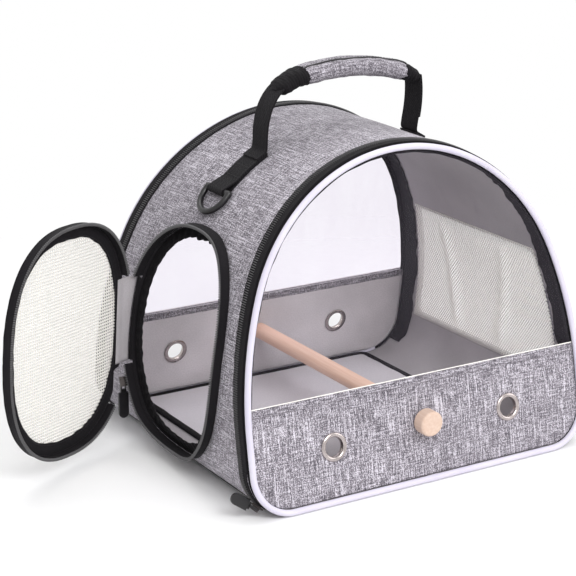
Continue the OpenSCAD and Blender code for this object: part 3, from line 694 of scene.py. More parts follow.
def finish_tape(colours, name, pitch, slant, lift, rough=0.75, tone=1.0, strength=0.5):
    """Black woven tape or webbing with ribs at a pitch."""
    material, g, shader = new_finish(name, Sheen_Weight=0.02, Sheen_Roughness=0.5, Specular_IOR_Level=0.12)
    rib = g.group("ribs", Vector=g.cloth(), Pitch=pitch, Slant=slant)
    tone_cloud = g.fit(g.wear(26.0)["Cloud"], 0.35, 0.75, 0.0, 0.3)
    share = g.add(g.fit(rib["Height"], 0.2, 1.6, 0.0, 0.55), tone_cloud, clamp=True)
    dark, light = shaded(colours.black, tone), shaded(colours.black, tone * 2.1, 0.004)
    g.feed(shader, Base_Color=g.mix(share, dark, light),
           Roughness=g.fit(rib["Fibre"], 0.3, 0.7, rough - 0.1, rough + 0.12),
           Normal=g.bump(rib["Height"], strength, lift))
    return material


def finish_lining(colours, name, shade):
    """Fine plain-woven lining with soft clouds of darker tone, which paint the shade of soft folds, and slow
    folds in its bump.
    """
    material, g, shader = new_finish(name, Sheen_Weight=0.2, Sheen_Roughness=0.5, Specular_IOR_Level=0.25)
    uv = g.cloth()
    u, v, _ = g.parted(uv)
    fibre = g.threads(uv, 800, 800)
    # clouds of darker tone, up to 0.6 of the way to the dark copy: painted shade of soft folds
    tone_cloud = g.fit(g.wear(14.0)["Cloud"], 0.35, 0.65, 0.0, 0.6)
    share = g.add(g.fit(fibre, 0.3, 0.7, 0.0, 0.45), tone_cloud, clamp=True)
    weave = g.add(g.times(g.wave(u, 0.0007), g.wave(v, 0.0007)), fibre)
    fold = g.threads(g.place(), 16, 16, 1.0, 9)
    dark, light = shaded(colours.lining, 0.74 * shade), shaded(colours.lining, 1.06 * shade)
    g.feed(shader, Base_Color=g.mix(share, dark, light),
           Roughness=g.fit(fibre, 0.3, 0.7, 0.78, 0.9),
           Normal=g.bump(g.add(g.times(weave, 0.04), g.times(fold, 3.0)), 0.9, 0.004))
    return material


def finish_pad(colours):
    """Top of the floor pad: a fine pale weave."""
    material, g, shader = new_finish("floor_pad_cloth", Sheen_Weight=0.15, Specular_IOR_Level=0.25)
    fibre = g.threads(g.cloth(), 600, 600)
    tone_cloud = g.fit(g.wear(20.0)["Cloud"], 0.3, 0.7, 0.0, 0.3)
    share = g.add(g.fit(fibre, 0.3, 0.7, 0.1, 0.7), tone_cloud, clamp=True)
    g.feed(shader, Base_Color=g.mix(share, shaded(colours.pad, 0.82), shaded(colours.pad)),
           Roughness=g.fit(fibre, 0.3, 0.7, 0.75, 0.88), Normal=g.bump(fibre, 0.3, 0.0003))
    return material


def finish_plain(name, colour, rough, dark=0.85, scale=60.0, lift=0.0001, strength=0.25, **plain):
    """An even finish with a fine grain, slow clouds of tone and small rougher marks."""
    material, g, shader = new_finish(name, **plain)
    place = g.place()
    wear = g.group("wear", Vector=place, Scale=scale)
    cloud, marks = wear["Cloud"], wear["Marks"]
    share = g.add(g.fit(cloud, 0.3, 0.7, 0.0, 0.7), g.times(marks, 0.3), clamp=True)
    g.feed(shader, Base_Color=g.mix(share, shaded(colour, dark), shaded(colour)),
           Roughness=g.add(g.fit(cloud, 0.3, 0.7, rough - 0.05, rough + 0.05), g.times(marks, 0.12)),
           Normal=g.bump(g.noise(place, 2600.0), strength, lift))
    return material


def finish_piping(colours):
    """White bias-cut cover of the piping: a slanted fine weave with a satin sheen."""
    material, g, shader = new_finish("white_piping", Sheen_Weight=0.3, Sheen_Roughness=0.4,
                                     Specular_IOR_Level=0.35, Subsurface_Weight=0.08,
                                     Subsurface_Radius=(0.002, 0.0017, 0.0017))
    rib = g.group("ribs", Vector=g.cloth(), Pitch=0.0009, Slant=1.0)
    tone_cloud = g.fit(g.wear(40.0)["Cloud"], 0.3, 0.7, 0.2, 0.8)
    share = g.add(tone_cloud, g.fit(rib["Height"], 0, 2, 0.0, 0.3), clamp=True)
    dark, light = shaded(colours.piping, (0.86, 0.84, 0.92)), shaded(colours.piping)
    g.feed(shader, Base_Color=g.mix(share, dark, light),
           Roughness=g.fit(rib["Fibre"], 0.3, 0.7, 0.5, 0.66), Normal=g.bump(rib["Height"], 0.2, 0.0002))
    return material


def finish_film(name, low, high, **plain):
    """Clear soft film: nearly see-through, milky towards the eye at a slant, with faint streaks."""
    material, g, shader = new_finish(name, Specular_IOR_Level=0.8, **plain)
    place = g.place()
    streak = g.threads(place, 30, 30, 3.0, 4)
    facing = g.math("POWER", g.put("ShaderNodeLayerWeight", {"Blend": 0.5}).outputs["Facing"], 4.0)
    g.feed(shader, Base_Color=g.mix(g.fit(streak, 0.3, 0.7), (0.62, 0.52, 0.72, 1), (0.80, 0.74, 0.88, 1)),
           Alpha=g.add(facing, g.fit(streak, 0.35, 0.75, low, high), clamp=True),
           Roughness=g.fit(streak, 0.3, 0.7, 0.05, 0.14), Normal=g.bump(g.noise(place, 26.0), 0.25, 0.004))
    return material


def finish_wood(colours, name, shade=(1, 1, 1)):
    """Turned pale wood: rings stretched along the grain, which runs along Y, with pores and a satin coat."""
    material, g, shader = new_finish(name, Specular_IOR_Level=0.4, Coat_Roughness=0.3, Coat_Weight=0.15)
    place, pale = g.place(), np.array(colours.wood) * shade
    rings, fine = g.threads(place, 420.0, 12.0, 3.0, 420.0), g.threads(place, 2100.0, 60.0, 2.0, 2100.0)
    share = g.add(g.fit(rings, 0.35, 0.65, 0.3, 0.8), g.fit(fine, 0.35, 0.65, 0.0, 0.3), clamp=True)
    g.feed(shader, Base_Color=g.mix(share, shaded(pale, (0.86, 0.76, 0.68)), shaded(pale)),
           Roughness=g.fit(fine, 0.3, 0.7, 0.5, 0.62), Normal=g.bump(fine, 0.2, 0.0002))
    return material


FINISHES = {}


def finish(name):
    """A finish by name, made the first time from the scene's colours."""
    colours = bpy.context.scene.carrier_colours
    black, metal = np.array(colours.black), np.array(colours.metal)
    polish = dict(dark=0.7, scale=120.0, lift=0.00005, strength=0.15, Metallic=1.0)
    makers = {
        "heather_tunnel": lambda: finish_heather(colours, name, 0.7),
        "heather_band": lambda: finish_heather(colours, name, 1.0),
        "heather_grip": lambda: finish_heather(colours, name, 0.25, 0.92),
        # one lining cloth in lit and shaded copies: the tunnel's is darkened to 0.56 as painted shade under the
        # roof, and the band's stays at full, its light colour lifted as painted light for the dim inside
        "lining": lambda: finish_lining(colours, "grey_lining", 0.56),
        "band_lining": lambda: finish_lining(colours, name, 1.0),
        "flap": lambda: finish_lining(colours, "flap_cloth", 0.66),
        "lining_board": lambda: finish_lining(colours, "board", 0.8),
        "pad": lambda: finish_pad(colours),
        "tape": lambda: finish_tape(colours, "black_tape", 0.0012, 0.0, 0.0002),
        "webbing": lambda: finish_tape(colours, "black_webbing", 0.0026, 0.7, 0.0006, 0.7, 1.0, 0.8),
        "elastic": lambda: finish_tape(colours, "gathered_elastic", 0.0016, 0.0, 0.0003, 0.8, 0.8),
        # zip teeth: the black is lifted to a grey well above the tape's, a painted highlight standing in for
        # the glints on each tooth
        "ribs": lambda: finish_plain("zip_ribs", black * 3 + 0.09, 0.35, 0.7, Specular_IOR_Level=0.4),
        "thread": lambda: finish_plain("black_thread", black * 1.8, 0.6),
        "grey_thread": lambda: finish_plain(name, colours.heather, 0.7),
        "piping": lambda: finish_piping(colours),
        "film": lambda: finish_film("clear_film", 0.012, 0.03, IOR=1.45),
        "film_back": lambda: finish_film("clear_film_back", 0.6, 0.8, IOR=1.1, Transmission_Weight=1.0),
        "net": lambda: finish_plain("white_mesh", colours.net, 0.55, 0.9, 200.0, Specular_IOR_Level=0.35),
        "metal": lambda: finish_plain("dark_metal", metal, 0.24, **polish),
        "slider": lambda: finish_plain("black_metal", metal * 0.16, 0.3, **polish),
        "plastic": lambda: finish_plain("black_plastic", black * 0.9, 0.36, 0.75, 90.0, 0.0002, 0.3,
                                        Specular_IOR_Level=0.5),
        # perch and knob are one wood in two copies: the perch's is set light as painted light against the shade
        # inside the tunnel, and the knob's is darkened as painted shade against the full light on it outside
        "perch": lambda: finish_wood(colours, "perch_wood"),
        "knob": lambda: finish_wood(colours, "knob_wood", (0.68, 0.75, 0.78)),
    }
    if name not in FINISHES:
        FINISHES[name] = makers[name]()
    return FINISHES[name]


# ---------------------------------------------------------------- tunnel


RIM = 3.5                  # from the plane of a panel back to the cloth's edge
PANEL_IN = 5.5             # from the outline in to the flat of a panel
COLLAR_T = 2.0             # thickness of the tape that stands round the side opening
DOOR_Y = -11.0             # middle of the side opening along Y
WINDOW_Z = (50.0, 165.0)   # foot and top of the side window
WINDOW_RIM = 30.0          # from the plane of a panel back to the side window
PERCH_Z = 53               # height of the perch's screw
SLIDER_AT = 231            # where a rim's slider stands on the left bottom corner, in degrees


def form():
    return Form(bpy.context.scene.carrier_sizes)


def door_edge(f, grow):
    """Puts the border of a block of cells on the oval of the door, seen from its middle."""
    def edge(border):
        z = f.at(border[:, 0])[1]
        y = border[:, 1] * f.end_y(z, RIM)
        dy, dz = y - DOOR_Y, z - f.door_z
        reach = oval_reach(dy, dz, f.door_a + grow, f.door_b + grow)
        y, z = DOOR_Y + dy * reach, f.door_z + dz * reach
        return np.stack([f.s_at(z, True), y / f.end_y(z, RIM)], -1)
    return edge


def window_edge(f, block, grow):
    """Puts the border of a block on the trapezoid of the side window, corner on corner."""
    s0, s1, v0, v1 = block

    def edge(border):
        a = (border[:, 0] - s0) / (s1 - s0)
        b = (border[:, 1] - v0) / (v1 - v0)
        z = WINDOW_Z[0] - grow + a * (WINDOW_Z[1] - WINDOW_Z[0] + 2 * grow)
        half = f.half_d - WINDOW_RIM + grow - z * f.slope
        return np.stack([f.s_at(z), (2 * b - 1) * half / f.end_y(z, RIM)], -1)
    return edge


def wall_sheet(f, step_s, rows, door_grow, window_grow):
    """Points s, v and cells of a wall layer: along the outline and across the depth, v from -1 to 1, with
    the door's and the side window's openings; and the points' y and z."""
    window = [f.s_at(WINDOW_Z[0] - 12), f.s_at(WINDOW_Z[1] + 12)]
    door = [f.s_at(f.door_z + f.door_b + 9, True), f.s_at(f.door_z - f.door_b - 7, True)]
    marks = [0.0] + sorted(window + door) + [f.length]
    ss = np.concatenate([np.linspace(a, b, max(2, int((b - a) / step_s)), endpoint=False)
                         for a, b in zip(marks[:-1], marks[1:])] + [[f.length]])
    vs = np.concatenate([[-1, -0.985], np.linspace(-0.965, 0.965, rows), [0.985, 1]])
    sides = [(DOOR_Y + way * (f.door_a + 9)) / f.end_y(f.door_z, RIM) for way in (-1, 1)]
    w, d = (tuple(nearest(ss, x) for x in along) + tuple(nearest(vs, x) for x in across)
            for along, across in ((window, (-0.86, 0.86)), (door, sides)))
    block = (ss[w[0]], ss[w[1]], vs[w[2]], vs[w[3]])
    sv, faces = holed_grid(ss, vs, [w + (window_edge(f, block, window_grow), 4),
                                    d + (door_edge(f, door_grow), 5)])
    z = f.at(sv[:, 0])[1]
    return sv, faces, sv[:, 1] * f.end_y(z, RIM), z


def off_door(f, y, z, grow):
    """How far points of the wall lie from the door's middle: 1 on its oval made larger by grow."""
    return np.hypot((y - DOOR_Y) / (f.door_a + grow), (z - f.door_z) / (f.door_b + grow))


def wall_cloth(f, name, look, slot, node, sv, faces, y, off, mm):
    """One cloth of the wall, off outside the outline and mm thick."""
    x, z, _, _ = f.at(sv[:, 0], off)
    points = np.stack([x, sv[:, 1] * f.end_y(z, RIM), z], -1)
    obj = Parts().add(points, faces, np.stack([sv[:, 0], y], -1)[faces], flip=True).object(name, look)
    thicken(obj, mm, -1)
    finish_piece(obj, "tunnel", slot, node)


def tunnel_cloth(f):
    """Outer cloth: the outline carried front to back, lifted by slow waves and by short puckers along the
    seams at both rims."""
    sv, faces, y, z = wall_sheet(f, 3.4, 78, -COLLAR_T, 0.0)
    along, edge = sv[:, 0], 1 - np.abs(sv[:, 1])
    near_rim = np.exp(-((edge - 0.10) / 0.06) ** 2)
    off = (0.45 * wave_field(along, y, 3, 120) * smooth(edge, 0.02, 0.3) + 0.22 * near_rim
           * wave_field(along, y * 0.2, 5, 16)) * smooth(z, 4, 30) - 0.05
    off = off * np.where(along > f.length / 2, smooth(off_door(f, y, z, 3), 1.0, 1.2), 1)
    wall_cloth(f, "tunnel_cloth", "heather_tunnel", "heather_fabric", "outer_shell", sv, faces, y, off, 0.8)


def lining_cloth(f):
    """Inner cloth: the same sheet inside the board, with soft folds that stand off the wall on the roof
    and the sides, and lie flat near tapes, openings and the floor."""
    sv, faces, y, z = wall_sheet(f, 4.5, 60, 0.5, 2.0)
    along, edge = sv[:, 0], (1 - np.abs(sv[:, 1])) * f.end_y(z, RIM)
    folds = 0.5 + 0.5 * wave_field(along, y * 1.5, 11, 85)
    crease = np.exp(-((y + 18 + 0.12 * (along - f.length * 0.36)) / 5) ** 2) * smooth(z, 120, 200)
    flat = smooth(edge, 22, 45) * smooth(z, 60, 140)
    flat = flat * np.where(along > f.length / 2, smooth(off_door(f, y, z, 8), 1.0, 1.25), smooth(z, 170, 200))
    off = np.minimum(-2.75 - 2.6 * flat * folds + 1.2 * crease * flat, -2.7)
    wall_cloth(f, "lining_cloth", "lining", "grey_lining", "inner_lining", sv, faces, y, off, 0.6)


def rim_frame(f, s):
    """Stations along the outline in the front plane: base point, direction outwards, direction back."""
    x, z, nx, nz = f.at(s)
    return f.front(x, z, 0), level(nx, nz * f.slope, nz), np.broadcast_to([0.0, 1.0, 0.0], (len(s), 3))


def rim_range(f, z, n):
    """n stations from a height on the right over the crown to that height on the left."""
    return np.linspace(f.s_at(z), f.length - f.s_at(z), n)


def rim_strip(parts, f, s, back0, back1, off0, off1, across=4, pucker=0.0, seed=1, edge_wave=0.0):
    """A tape along the rim between two depths and two offsets; its rear edge may wave, and its face may
    pucker outwards by a few tenths."""
    base, out, back = rim_frame(f, s)
    t = abs(off1 - off0)
    box = strip_profile(back1 - back0, t, across, t * 0.45) + [(back0 + back1) / 2, (off0 + off1) / 2]
    profile = carried(box, len(s))
    share = (profile[..., 0] - back0) / (back1 - back0)
    if pucker:
        relief = wave_field(s[:, None], profile[..., 0] * 0.5, seed, 11)
        profile[..., 1] += pucker * relief * smooth(share, 0, 0.5)
    if edge_wave:
        profile[..., 0] += edge_wave * ripple(s, seed + 7, 19) * share
        profile[..., 1] -= 0.5 * edge_wave * np.abs(ripple(s, seed + 9, 13)) * share
    return sweep(parts, base, back, out, profile)


def end_pieces(f, front):
    """Everything that belongs to one end: rim tapes and zip on the tunnel, and the panel itself."""
    end = "front" if front else "back"
    panel = end + "_panel"
    slider_s = f.length - (f.half_w - f.corner_r) - f.corner_r * math.radians(270 - SLIDER_AT)
    start_s = f.s_at(9.0)

    def made(name, parts, look, body, slot, *replaced, **more):
        obj = parts.object(end + name, look, mirror_y=not front, **more)
        return finish_piece(obj, body, slot, *(end + node for node in replaced))

    # tape under the zip's teeth, then the teeth themselves
    parts = rim_strip(Parts(), f, np.arange(start_s, slider_s, 2.4), 8.6, 16.2, 0.0, 0.9, 4, 0.12, 21)
    made("_zip_tape", parts, "tape", "tunnel", "black_tape", "_rim_zip")
    s = np.arange(start_s + 1, slider_s - 1, f.rib_pitch)
    base, out, back = rim_frame(f, s)
    _, _, nx, nz = f.at(s)
    parts = ribs(Parts(), base + back * 11.6 + out * 0.85, unit(level(nz, 0, -nx)), back, level(nx, 0, nz),
                 5.8, f.rib_pitch * 0.52, 1.2)
    made("_zip_ribs", parts, "ribs", "tunnel", "black_tape", sharp=50)

    # smooth tape in front of the teeth: on the panel above the slider's reach, on the tunnel below it
    parts = rim_strip(Parts(), f, rim_range(f, 40.5, 330), 1.4, 8.5, 0.35, 1.2, 4, 0.1, 31)
    base, out, back = rim_frame(f, rim_range(f, 2.0, 360))
    sweep(parts, base, back, out, rounded_box(1.9, 5.5, 3, 0.3) + [1.3 + 0.95, -2.75])
    made("_panel_tape", parts, "tape", panel, "black_tape", "_zip_skirt")
    parts, low = Parts(), f.s_at(40.2)
    for s in (np.linspace(start_s, low, 40), np.linspace(f.length - low, slider_s, 30)):
        rim_strip(parts, f, s, 3.6, 8.5, 0.0, 0.85)
    made("_corner_tape", parts, "tape", "tunnel", "black_tape")

    # tape sewn inside the rim, its free edge gathered
    parts = rim_strip(Parts(), f, rim_range(f, 12.5, 420), 3.6, 23.0, -3.45, -4.1, 8, -0.18, 41, 2.4)
    made("_inner_tape", parts, "elastic", "tunnel", "black_tape", "_rim_tape")

    # white piping with a lengthwise seam and one lapped joint in the middle of the base
    s = np.linspace(0, f.length, 560, endpoint=False)
    base, out, back = rim_frame(f, s)
    normal = np.array([0, math.cos(f.lean), -math.sin(f.lean)])
    side = np.cross(normal, unit(np.roll(base, -1, 0) - np.roll(base, 1, 0)))
    centre = base - out * f.piping_r + back * (1.3 - f.piping_r / math.cos(f.lean) - 0.05)
    a = np.linspace(0, TAU, 20, endpoint=False)
    from_joint = np.mod(s + 2.8 + f.length / 2, f.length) - f.length / 2
    lap = np.where((from_joint > 0) & (from_joint < 14), 1.07, 1.0) - 0.16 * np.exp(-(from_joint / 1.0) ** 2)
    seam = 1 - 0.10 * np.exp(-(turn_from(a, 0.75 * math.pi) / 0.16) ** 2)
    uneven = 1 + 0.015 * wave_field(s, s * 0, 51, 30)
    r = f.piping_r * (lap * uneven)[:, None] * seam[None]
    parts = sweep(Parts(), centre, normal, side, arc_points(a, 0, 0, r, r), closed=True)
    made("_cord_piping", parts, "piping", panel, "white_piping", "_piping")
    panel_layers(f, panel, made, "film" if front else "film_back")


def turn_from(a, b):
    """The angle from b to a, between minus pi and pi."""
    return (a - b + math.pi) % TAU - math.pi


def band_grid(f, step):
    """Points x, z and cells of the band: rows by height, each row as wide as the outline there, with the
    two holes for the eyelets."""
    zs = PANEL_IN + (f.band_h - PANEL_IN) * np.linspace(0, 1, int(84.5 / step)) ** 1.15
    us = np.linspace(-1, 1, int(2 * f.half_w / step) // 2 * 2 + 1)
    half = lambda z: f.half_width(np.maximum(z, PANEL_IN), -PANEL_IN)
    room, hole = 15, 9.2
    cuts = []
    for side in (-1, 1):
        u, du = side * f.eyelet_x / half(f.eyelet_z), room / half(47.0)

        def edge(border, middle=side * f.eyelet_x):
            dx = border[:, 0] * half(border[:, 1]) - middle
            dz = (border[:, 1] - f.eyelet_z) / math.cos(f.lean)
            reach = hole / np.hypot(dx, dz)
            z = f.eyelet_z + dz * reach * math.cos(f.lean)
            return np.stack([(middle + dx * reach) / half(z), z], -1)
        cuts.append((nearest(us, u - du), nearest(us, u + du), nearest(zs, f.eyelet_z - room),
                     nearest(zs, f.eyelet_z + room), edge, 3))
    uz, faces = holed_grid(us, zs, cuts)
    return np.stack([uz[:, 0] * half(uz[:, 1]), uz[:, 1]], -1), faces


def arch_disc(f, inset, z0, n, rings):
    """Points x, z of the part of the panel above z0: the outline moved in, drawn together towards its
    middle ring by ring, as points (rings + 1, n, 2), the last one point."""
    x, z, _, _ = f.at(np.linspace(0, f.length, 4000, endpoint=False), -inset)
    line = np.stack([x, z], -1)[z >= z0]
    line[0, 1] = line[-1, 1] = z0
    loop = np.concatenate([line, np.linspace(line[-1], line[0], 60)[1:-1]])
    t = lengths(loop, True)
    loop = evenly(np.concatenate([loop, loop[:1]]), np.linspace(0, t[-1], n, endpoint=False), t)
    middle = np.array([0.0, (z0 + line[:, 1].max()) / 2])
    return middle + (loop[None] - middle) * np.linspace(1, 0, rings + 1)[:, None, None]


def band_cloth(f, step, top, seam, knob):
    """A layer of the band: its points x, z and cells, the room to its edge, and the room to the eyelets
    and the perch's screw."""
    xz, faces = band_grid(f, step)
    x, z = xz.T
    edge = np.minimum(f.half_width(np.maximum(z, 5.6), -PANEL_IN) - np.abs(x), np.minimum(z - 5.5, top - z))
    clear = np.minimum(np.hypot(np.abs(x) - f.eyelet_x, z - f.eyelet_z) - seam, np.hypot(x, z - PERCH_Z) - knob)
    return x, z, (xz / [1, math.cos(f.lean)])[faces], faces, edge, clear


def panel_layers(f, panel, made, film):
    """The flat layers of an end panel: heather band and hem, film, tape, lining and eyelets."""
    up = np.array([0, math.sin(f.lean), math.cos(f.lean)])
    out = np.array([0, -math.cos(f.lean), math.sin(f.lean)])
    x, z, uv, faces, edge, clear = band_cloth(f, 2.2, 84, 14, 14)
    bulge = -0.9 * smooth(edge, 0, 24) * smooth(clear, 0, 22) * (0.7 + 0.5 * wave_field(x, z, 61, 90))
    pucker = 0.18 * np.exp(-((edge - 3) / 3) ** 2) * wave_field(x, z, 63, 12)
    parts = Parts().add(f.front(x, z, 0.12 + bulge + pucker), faces, uv)
    thicken(made("_cloth_band", parts, "heather_band", panel, "heather_fabric", "_band"), 0.8, -1)

    # hem folded over the top edge, with a thin white bead along the top above it
    half = float(f.half_width(f.band_h, -PANEL_IN)) - 0.4
    xs = np.linspace(-half, half, 190)
    base = f.front(xs, f.band_h - 3.4, 0.0)
    rise = np.linspace(-3.2, 2.4, 5)
    fold = np.concatenate([level(0.95, rise, 0)[:, :2],
                           arc_points(np.linspace(0, math.pi, 7), -0.85, 2.6, 1.8, 1.3)[1:-1],
                           level(-2.65, rise[::-1], 0)[:, :2], [[-1.9, -3.5], [0.6, -3.5]]])
    profile = carried(fold, len(xs))
    profile[..., 0] += 0.12 * wave_field(xs[:, None], profile[..., 1], 71, 14)
    profile[..., 1] += 0.16 * ripple(xs, 73, 40)
    made("_hem", sweep(Parts(), base, out, up, profile, flip=True), "heather_grip", panel, "heather_fabric")
    parts = stitches(Parts(), base + up * -2.3 + out * 0.98, out, 3.0, 2.3, 0.42, 0.0)
    made("_hem_stitches", parts, "grey_thread", panel, "heather_fabric")
    parts = sweep(Parts(), base + up * 4.15 + out * 0.25, out, up, rounded_box(0.9, 0.9, 4), flip=True)
    made("_film_weld", parts, "net", panel, "clear_film")

    # clear film, slightly waved, and the narrow tape behind its edge
    rings = 26
    disc = arch_disc(f, 6.0, f.band_h - 1.5, 300, rings)
    x, z = disc[..., 0], disc[..., 1]
    share = np.linspace(0, 1, rings + 1)[:, None]
    wave = 0.5 * wave_field(x, z, 81, 110) * smooth(share, 0.03, 0.3)
    parts = Parts().grid(f.front(x, z, 1.45 + wave), np.arange(rings + 1) * 5.0, lengths(disc[0], True),
                         close_v=True)
    made("_film", parts, film, panel, "clear_film", "_window")
    s = rim_range(f, f.band_h, 380)
    base, outwards, back = rim_frame(f, s)
    profile = carried(strip_profile(3.2, 0.7, 4, 0.3) + [-PANEL_IN - 1.5, 2.2], len(s))
    inner = (-profile[..., 0] - PANEL_IN) / 3.1
    profile[..., 0] += 0.5 * ripple(s, 91, 22) * smooth(inner, 0.5, 1)
    parts = sweep(Parts(), base, outwards, back, profile, flip=True)
    made("_film_tape", parts, "tape", panel, "black_tape", "_edge_tape")

    # lining on the inner side of the band
    x, z, uv, faces, edge, clear = band_cloth(f, 3.4, f.band_h, 13, 12)
    soft = smooth(edge, 1, 20) * smooth(clear, 0, 20) * (0.5 + 0.5 * wave_field(x, z, 101, 60))
    parts = Parts().add(f.front(x, z, 2.3 + 1.6 * soft), faces, uv)
    thicken(made("_band_lining", parts, "band_lining", panel, "grey_lining", "_band_board"), 0.5, 1)

    # eyelets: a domed flange that turns into the barrel, and a flat ring inside
    a = np.linspace(0, TAU, 73)[:-1]
    line = np.concatenate([arc_points(np.linspace(-0.15, math.pi, 12), 10.3, 0.05, 2.0, 1.5),
                           [[8.15, -0.6], [8.05, -3.0], [8.3, -3.6], [8.9, -3.75], [11.6, -3.6], [11.8, -3.3],
                            [11.5, -3.1], [9.0, -2.9], [8.9, -1.2], [9.1, -0.1], [12.2, -0.1]]])
    spoke = np.cos(a)[:, None] * [1.0, 0, 0] + np.sin(a)[:, None] * up
    parts = Parts()
    for side in (-1, 1):
        points = (f.front(side * f.eyelet_x, f.eyelet_z, 0.0) + line[None, :, :1] * spoke[:, None]
                  + line[None, :, 1:] * out)
        parts.grid(points, np.append(a, TAU) * 10, lengths(line, True), True, True, flip=True)
    made("_rings", parts, "metal", panel, "dark_metal", "_eyelets")


# ---------------------------------------------------------------- door

FLAP_Z = (73.3, 150.7)                     # foot and top of the cloth flap
FLAP_SIDE = 29                             # where the flap's side of the opening starts, along Y
HINGE = np.array([-177.6, 68.0, 112.0])
DOOR_LEAN = math.radians(3.5)
DOOR_OPEN = math.radians(62)
RIM_H = 6.8                                # height of the zip tape that stands on the door
DOOR_OVER = 2.5                            # the door reaches this far past the opening
TOOTH = (2.9, 1.4)                         # length and width of a tooth of the door's zip
TOOTH_PITCH = 1.9                          # from one of these teeth to the next


def kept_run(keep, even, total):
    """The stations that are kept of a closed loop, in order from the first after the gap, and the lengths
    along them."""
    first = int(np.argmax(keep & ~np.roll(keep, 1)))
    order = np.roll(np.arange(len(keep)), -first)
    order = order[keep[order]]
    return order, np.mod(even[order] - even[first], total)


def opening_loop(f, grow, n, part=None):
    """Stations on the opening's oval made larger by grow: y, z, in-plane normal, length along it and its
    whole length; part keeps the stretch that leaves the flap's side free."""
    q, normal, even, total = oval_loop(f.door_a + grow, f.door_b + grow, n)
    y, z = q[:, 0] + DOOR_Y, q[:, 1] + f.door_z
    if part is not None:
        at_flap = (y > FLAP_SIDE) & (z > FLAP_Z[0] - part) & (z < FLAP_Z[1] + part)
        order, even = kept_run(~at_flap, even, total)
        y, z, normal = y[order], z[order], normal[order]
    return y, z, normal, even, total


def collar_point(f, y, z, normal, inset, off):
    """Points of the collar: moved in the wall's plane by inset, and out along X to the outline at off."""
    y2, z2 = y[:, None] - normal[:, :1] * inset, z[:, None] - normal[:, 1:] * inset
    return level(-f.half_width(z2, off), y2, z2)


def door_surround(f):
    """Collar tape standing off the wall with its zip teeth, the gathered binding inside the opening and
    the cloth flap that carries the door."""
    y, z, normal, even, _ = opening_loop(f, 0.0, 420, 0.2)
    section = strip_profile(8.1, 1.7, 4, 0.6)[:, ::-1] + [COLLAR_T / 2, 4.0]
    inset, off = np.moveaxis(carried(section, len(y)), -1, 0)
    inset += 0.18 * wave_field(even[:, None], off, 111, 18) * smooth(off, 1, 6)
    parts = Parts().tube(collar_point(f, y, z, normal, inset, off), even, lengths(section, True))
    shell_piece(parts, "collar_tape", "tape", "tunnel", "black_tape", "door_collar")

    y, z, normal, even, _ = opening_loop(f, 0.0, int(TAU * 89 / TOOTH_PITCH), 1.2)
    y, z = y - normal[:, 0], z - normal[:, 1]
    centre = collar_point(f, y, z, normal, np.zeros((len(y), 1)), 8.0)[:, 0]
    out, across = level(np.full(len(y), -1.0), 0.0, 0.0), level(0.0, normal[:, 0], normal[:, 1])
    parts = ribs(Parts(), centre, unit(np.cross(out, across)), across, out, *TOOTH, 1.35)
    shell_piece(parts, "collar_ribs", "ribs", "tunnel", "black_tape", "collar_teeth_row", sharp=50)

    # gathered binding: flat at its outer edge, rolled at its free edge, with folds that fan in
    y, z, normal, even, total = opening_loop(f, 2, 540)
    flat = np.linspace(0.2, 12.4, 9)
    line = np.concatenate([level(flat, -4.6, 0)[:, :2],
                           arc_points(np.linspace(-0.5 * math.pi, 0.5 * math.pi, 7), 13.2, -4.0, 1.5, 1.2),
                           level(flat[::-1], -3.5, 0)[:, :2]])
    inset, off = np.moveaxis(carried(line, len(y)), -1, 0)
    free = smooth(inset, 3, 12)
    phase = even / total * TAU
    gather = np.sin(58 * phase + 1.6 * np.sin(7 * phase))[:, None]
    off += free * (0.5 * gather - 0.15)
    inset += free * (0.9 * ripple(even, 121, 17) + 0.35 * gather)
    parts = Parts().torus(collar_point(f, y, z, normal, inset, off), even, total, line)
    obj = turn_out(parts.object("gathered_edge", "elastic"))
    finish_piece(obj, "tunnel", "black_tape", "opening_binding")

    # black facing over the wall's cut edge, between the collar and the gathered binding
    y, z, normal, even, total = opening_loop(f, 0, 420)
    line = np.array([[COLLAR_T, 0.4], [COLLAR_T + 0.35, 0.4], [COLLAR_T + 0.35, -4.3], [COLLAR_T, -4.3]])
    parts = Parts().torus(collar_point(f, y, z, normal, line[None, :, 0], line[None, :, 1]), even, total, line)
    shell_piece(parts, "opening_facing", "tape", "tunnel", "black_tape")

    # black tape on the wall beside the flap, from the opening's edge to the flap's seam
    keep = (y > FLAP_SIDE) & (np.abs(z - sum(FLAP_Z) / 2) < 38.2)
    y, z, normal = (v[keep][np.argsort(z[keep])] for v in (y, z, normal))
    reach = (70.0 - y[:, None]) / normal[:, :1]
    share = np.array([0, 0.33, 0.67, 1, 1, 0.67, 0.33, 0])
    off = np.repeat([0.25, 0.85], 4)[None]
    points = collar_point(f, y, z, normal, COLLAR_T - (reach + COLLAR_T) * share, off)
    parts = Parts().tube(points, lengths(points[:, 0]), lengths(points[0], True))
    shell_piece(parts, "flap_seam_tape", "tape", "tunnel", "black_tape")
    flap(f)


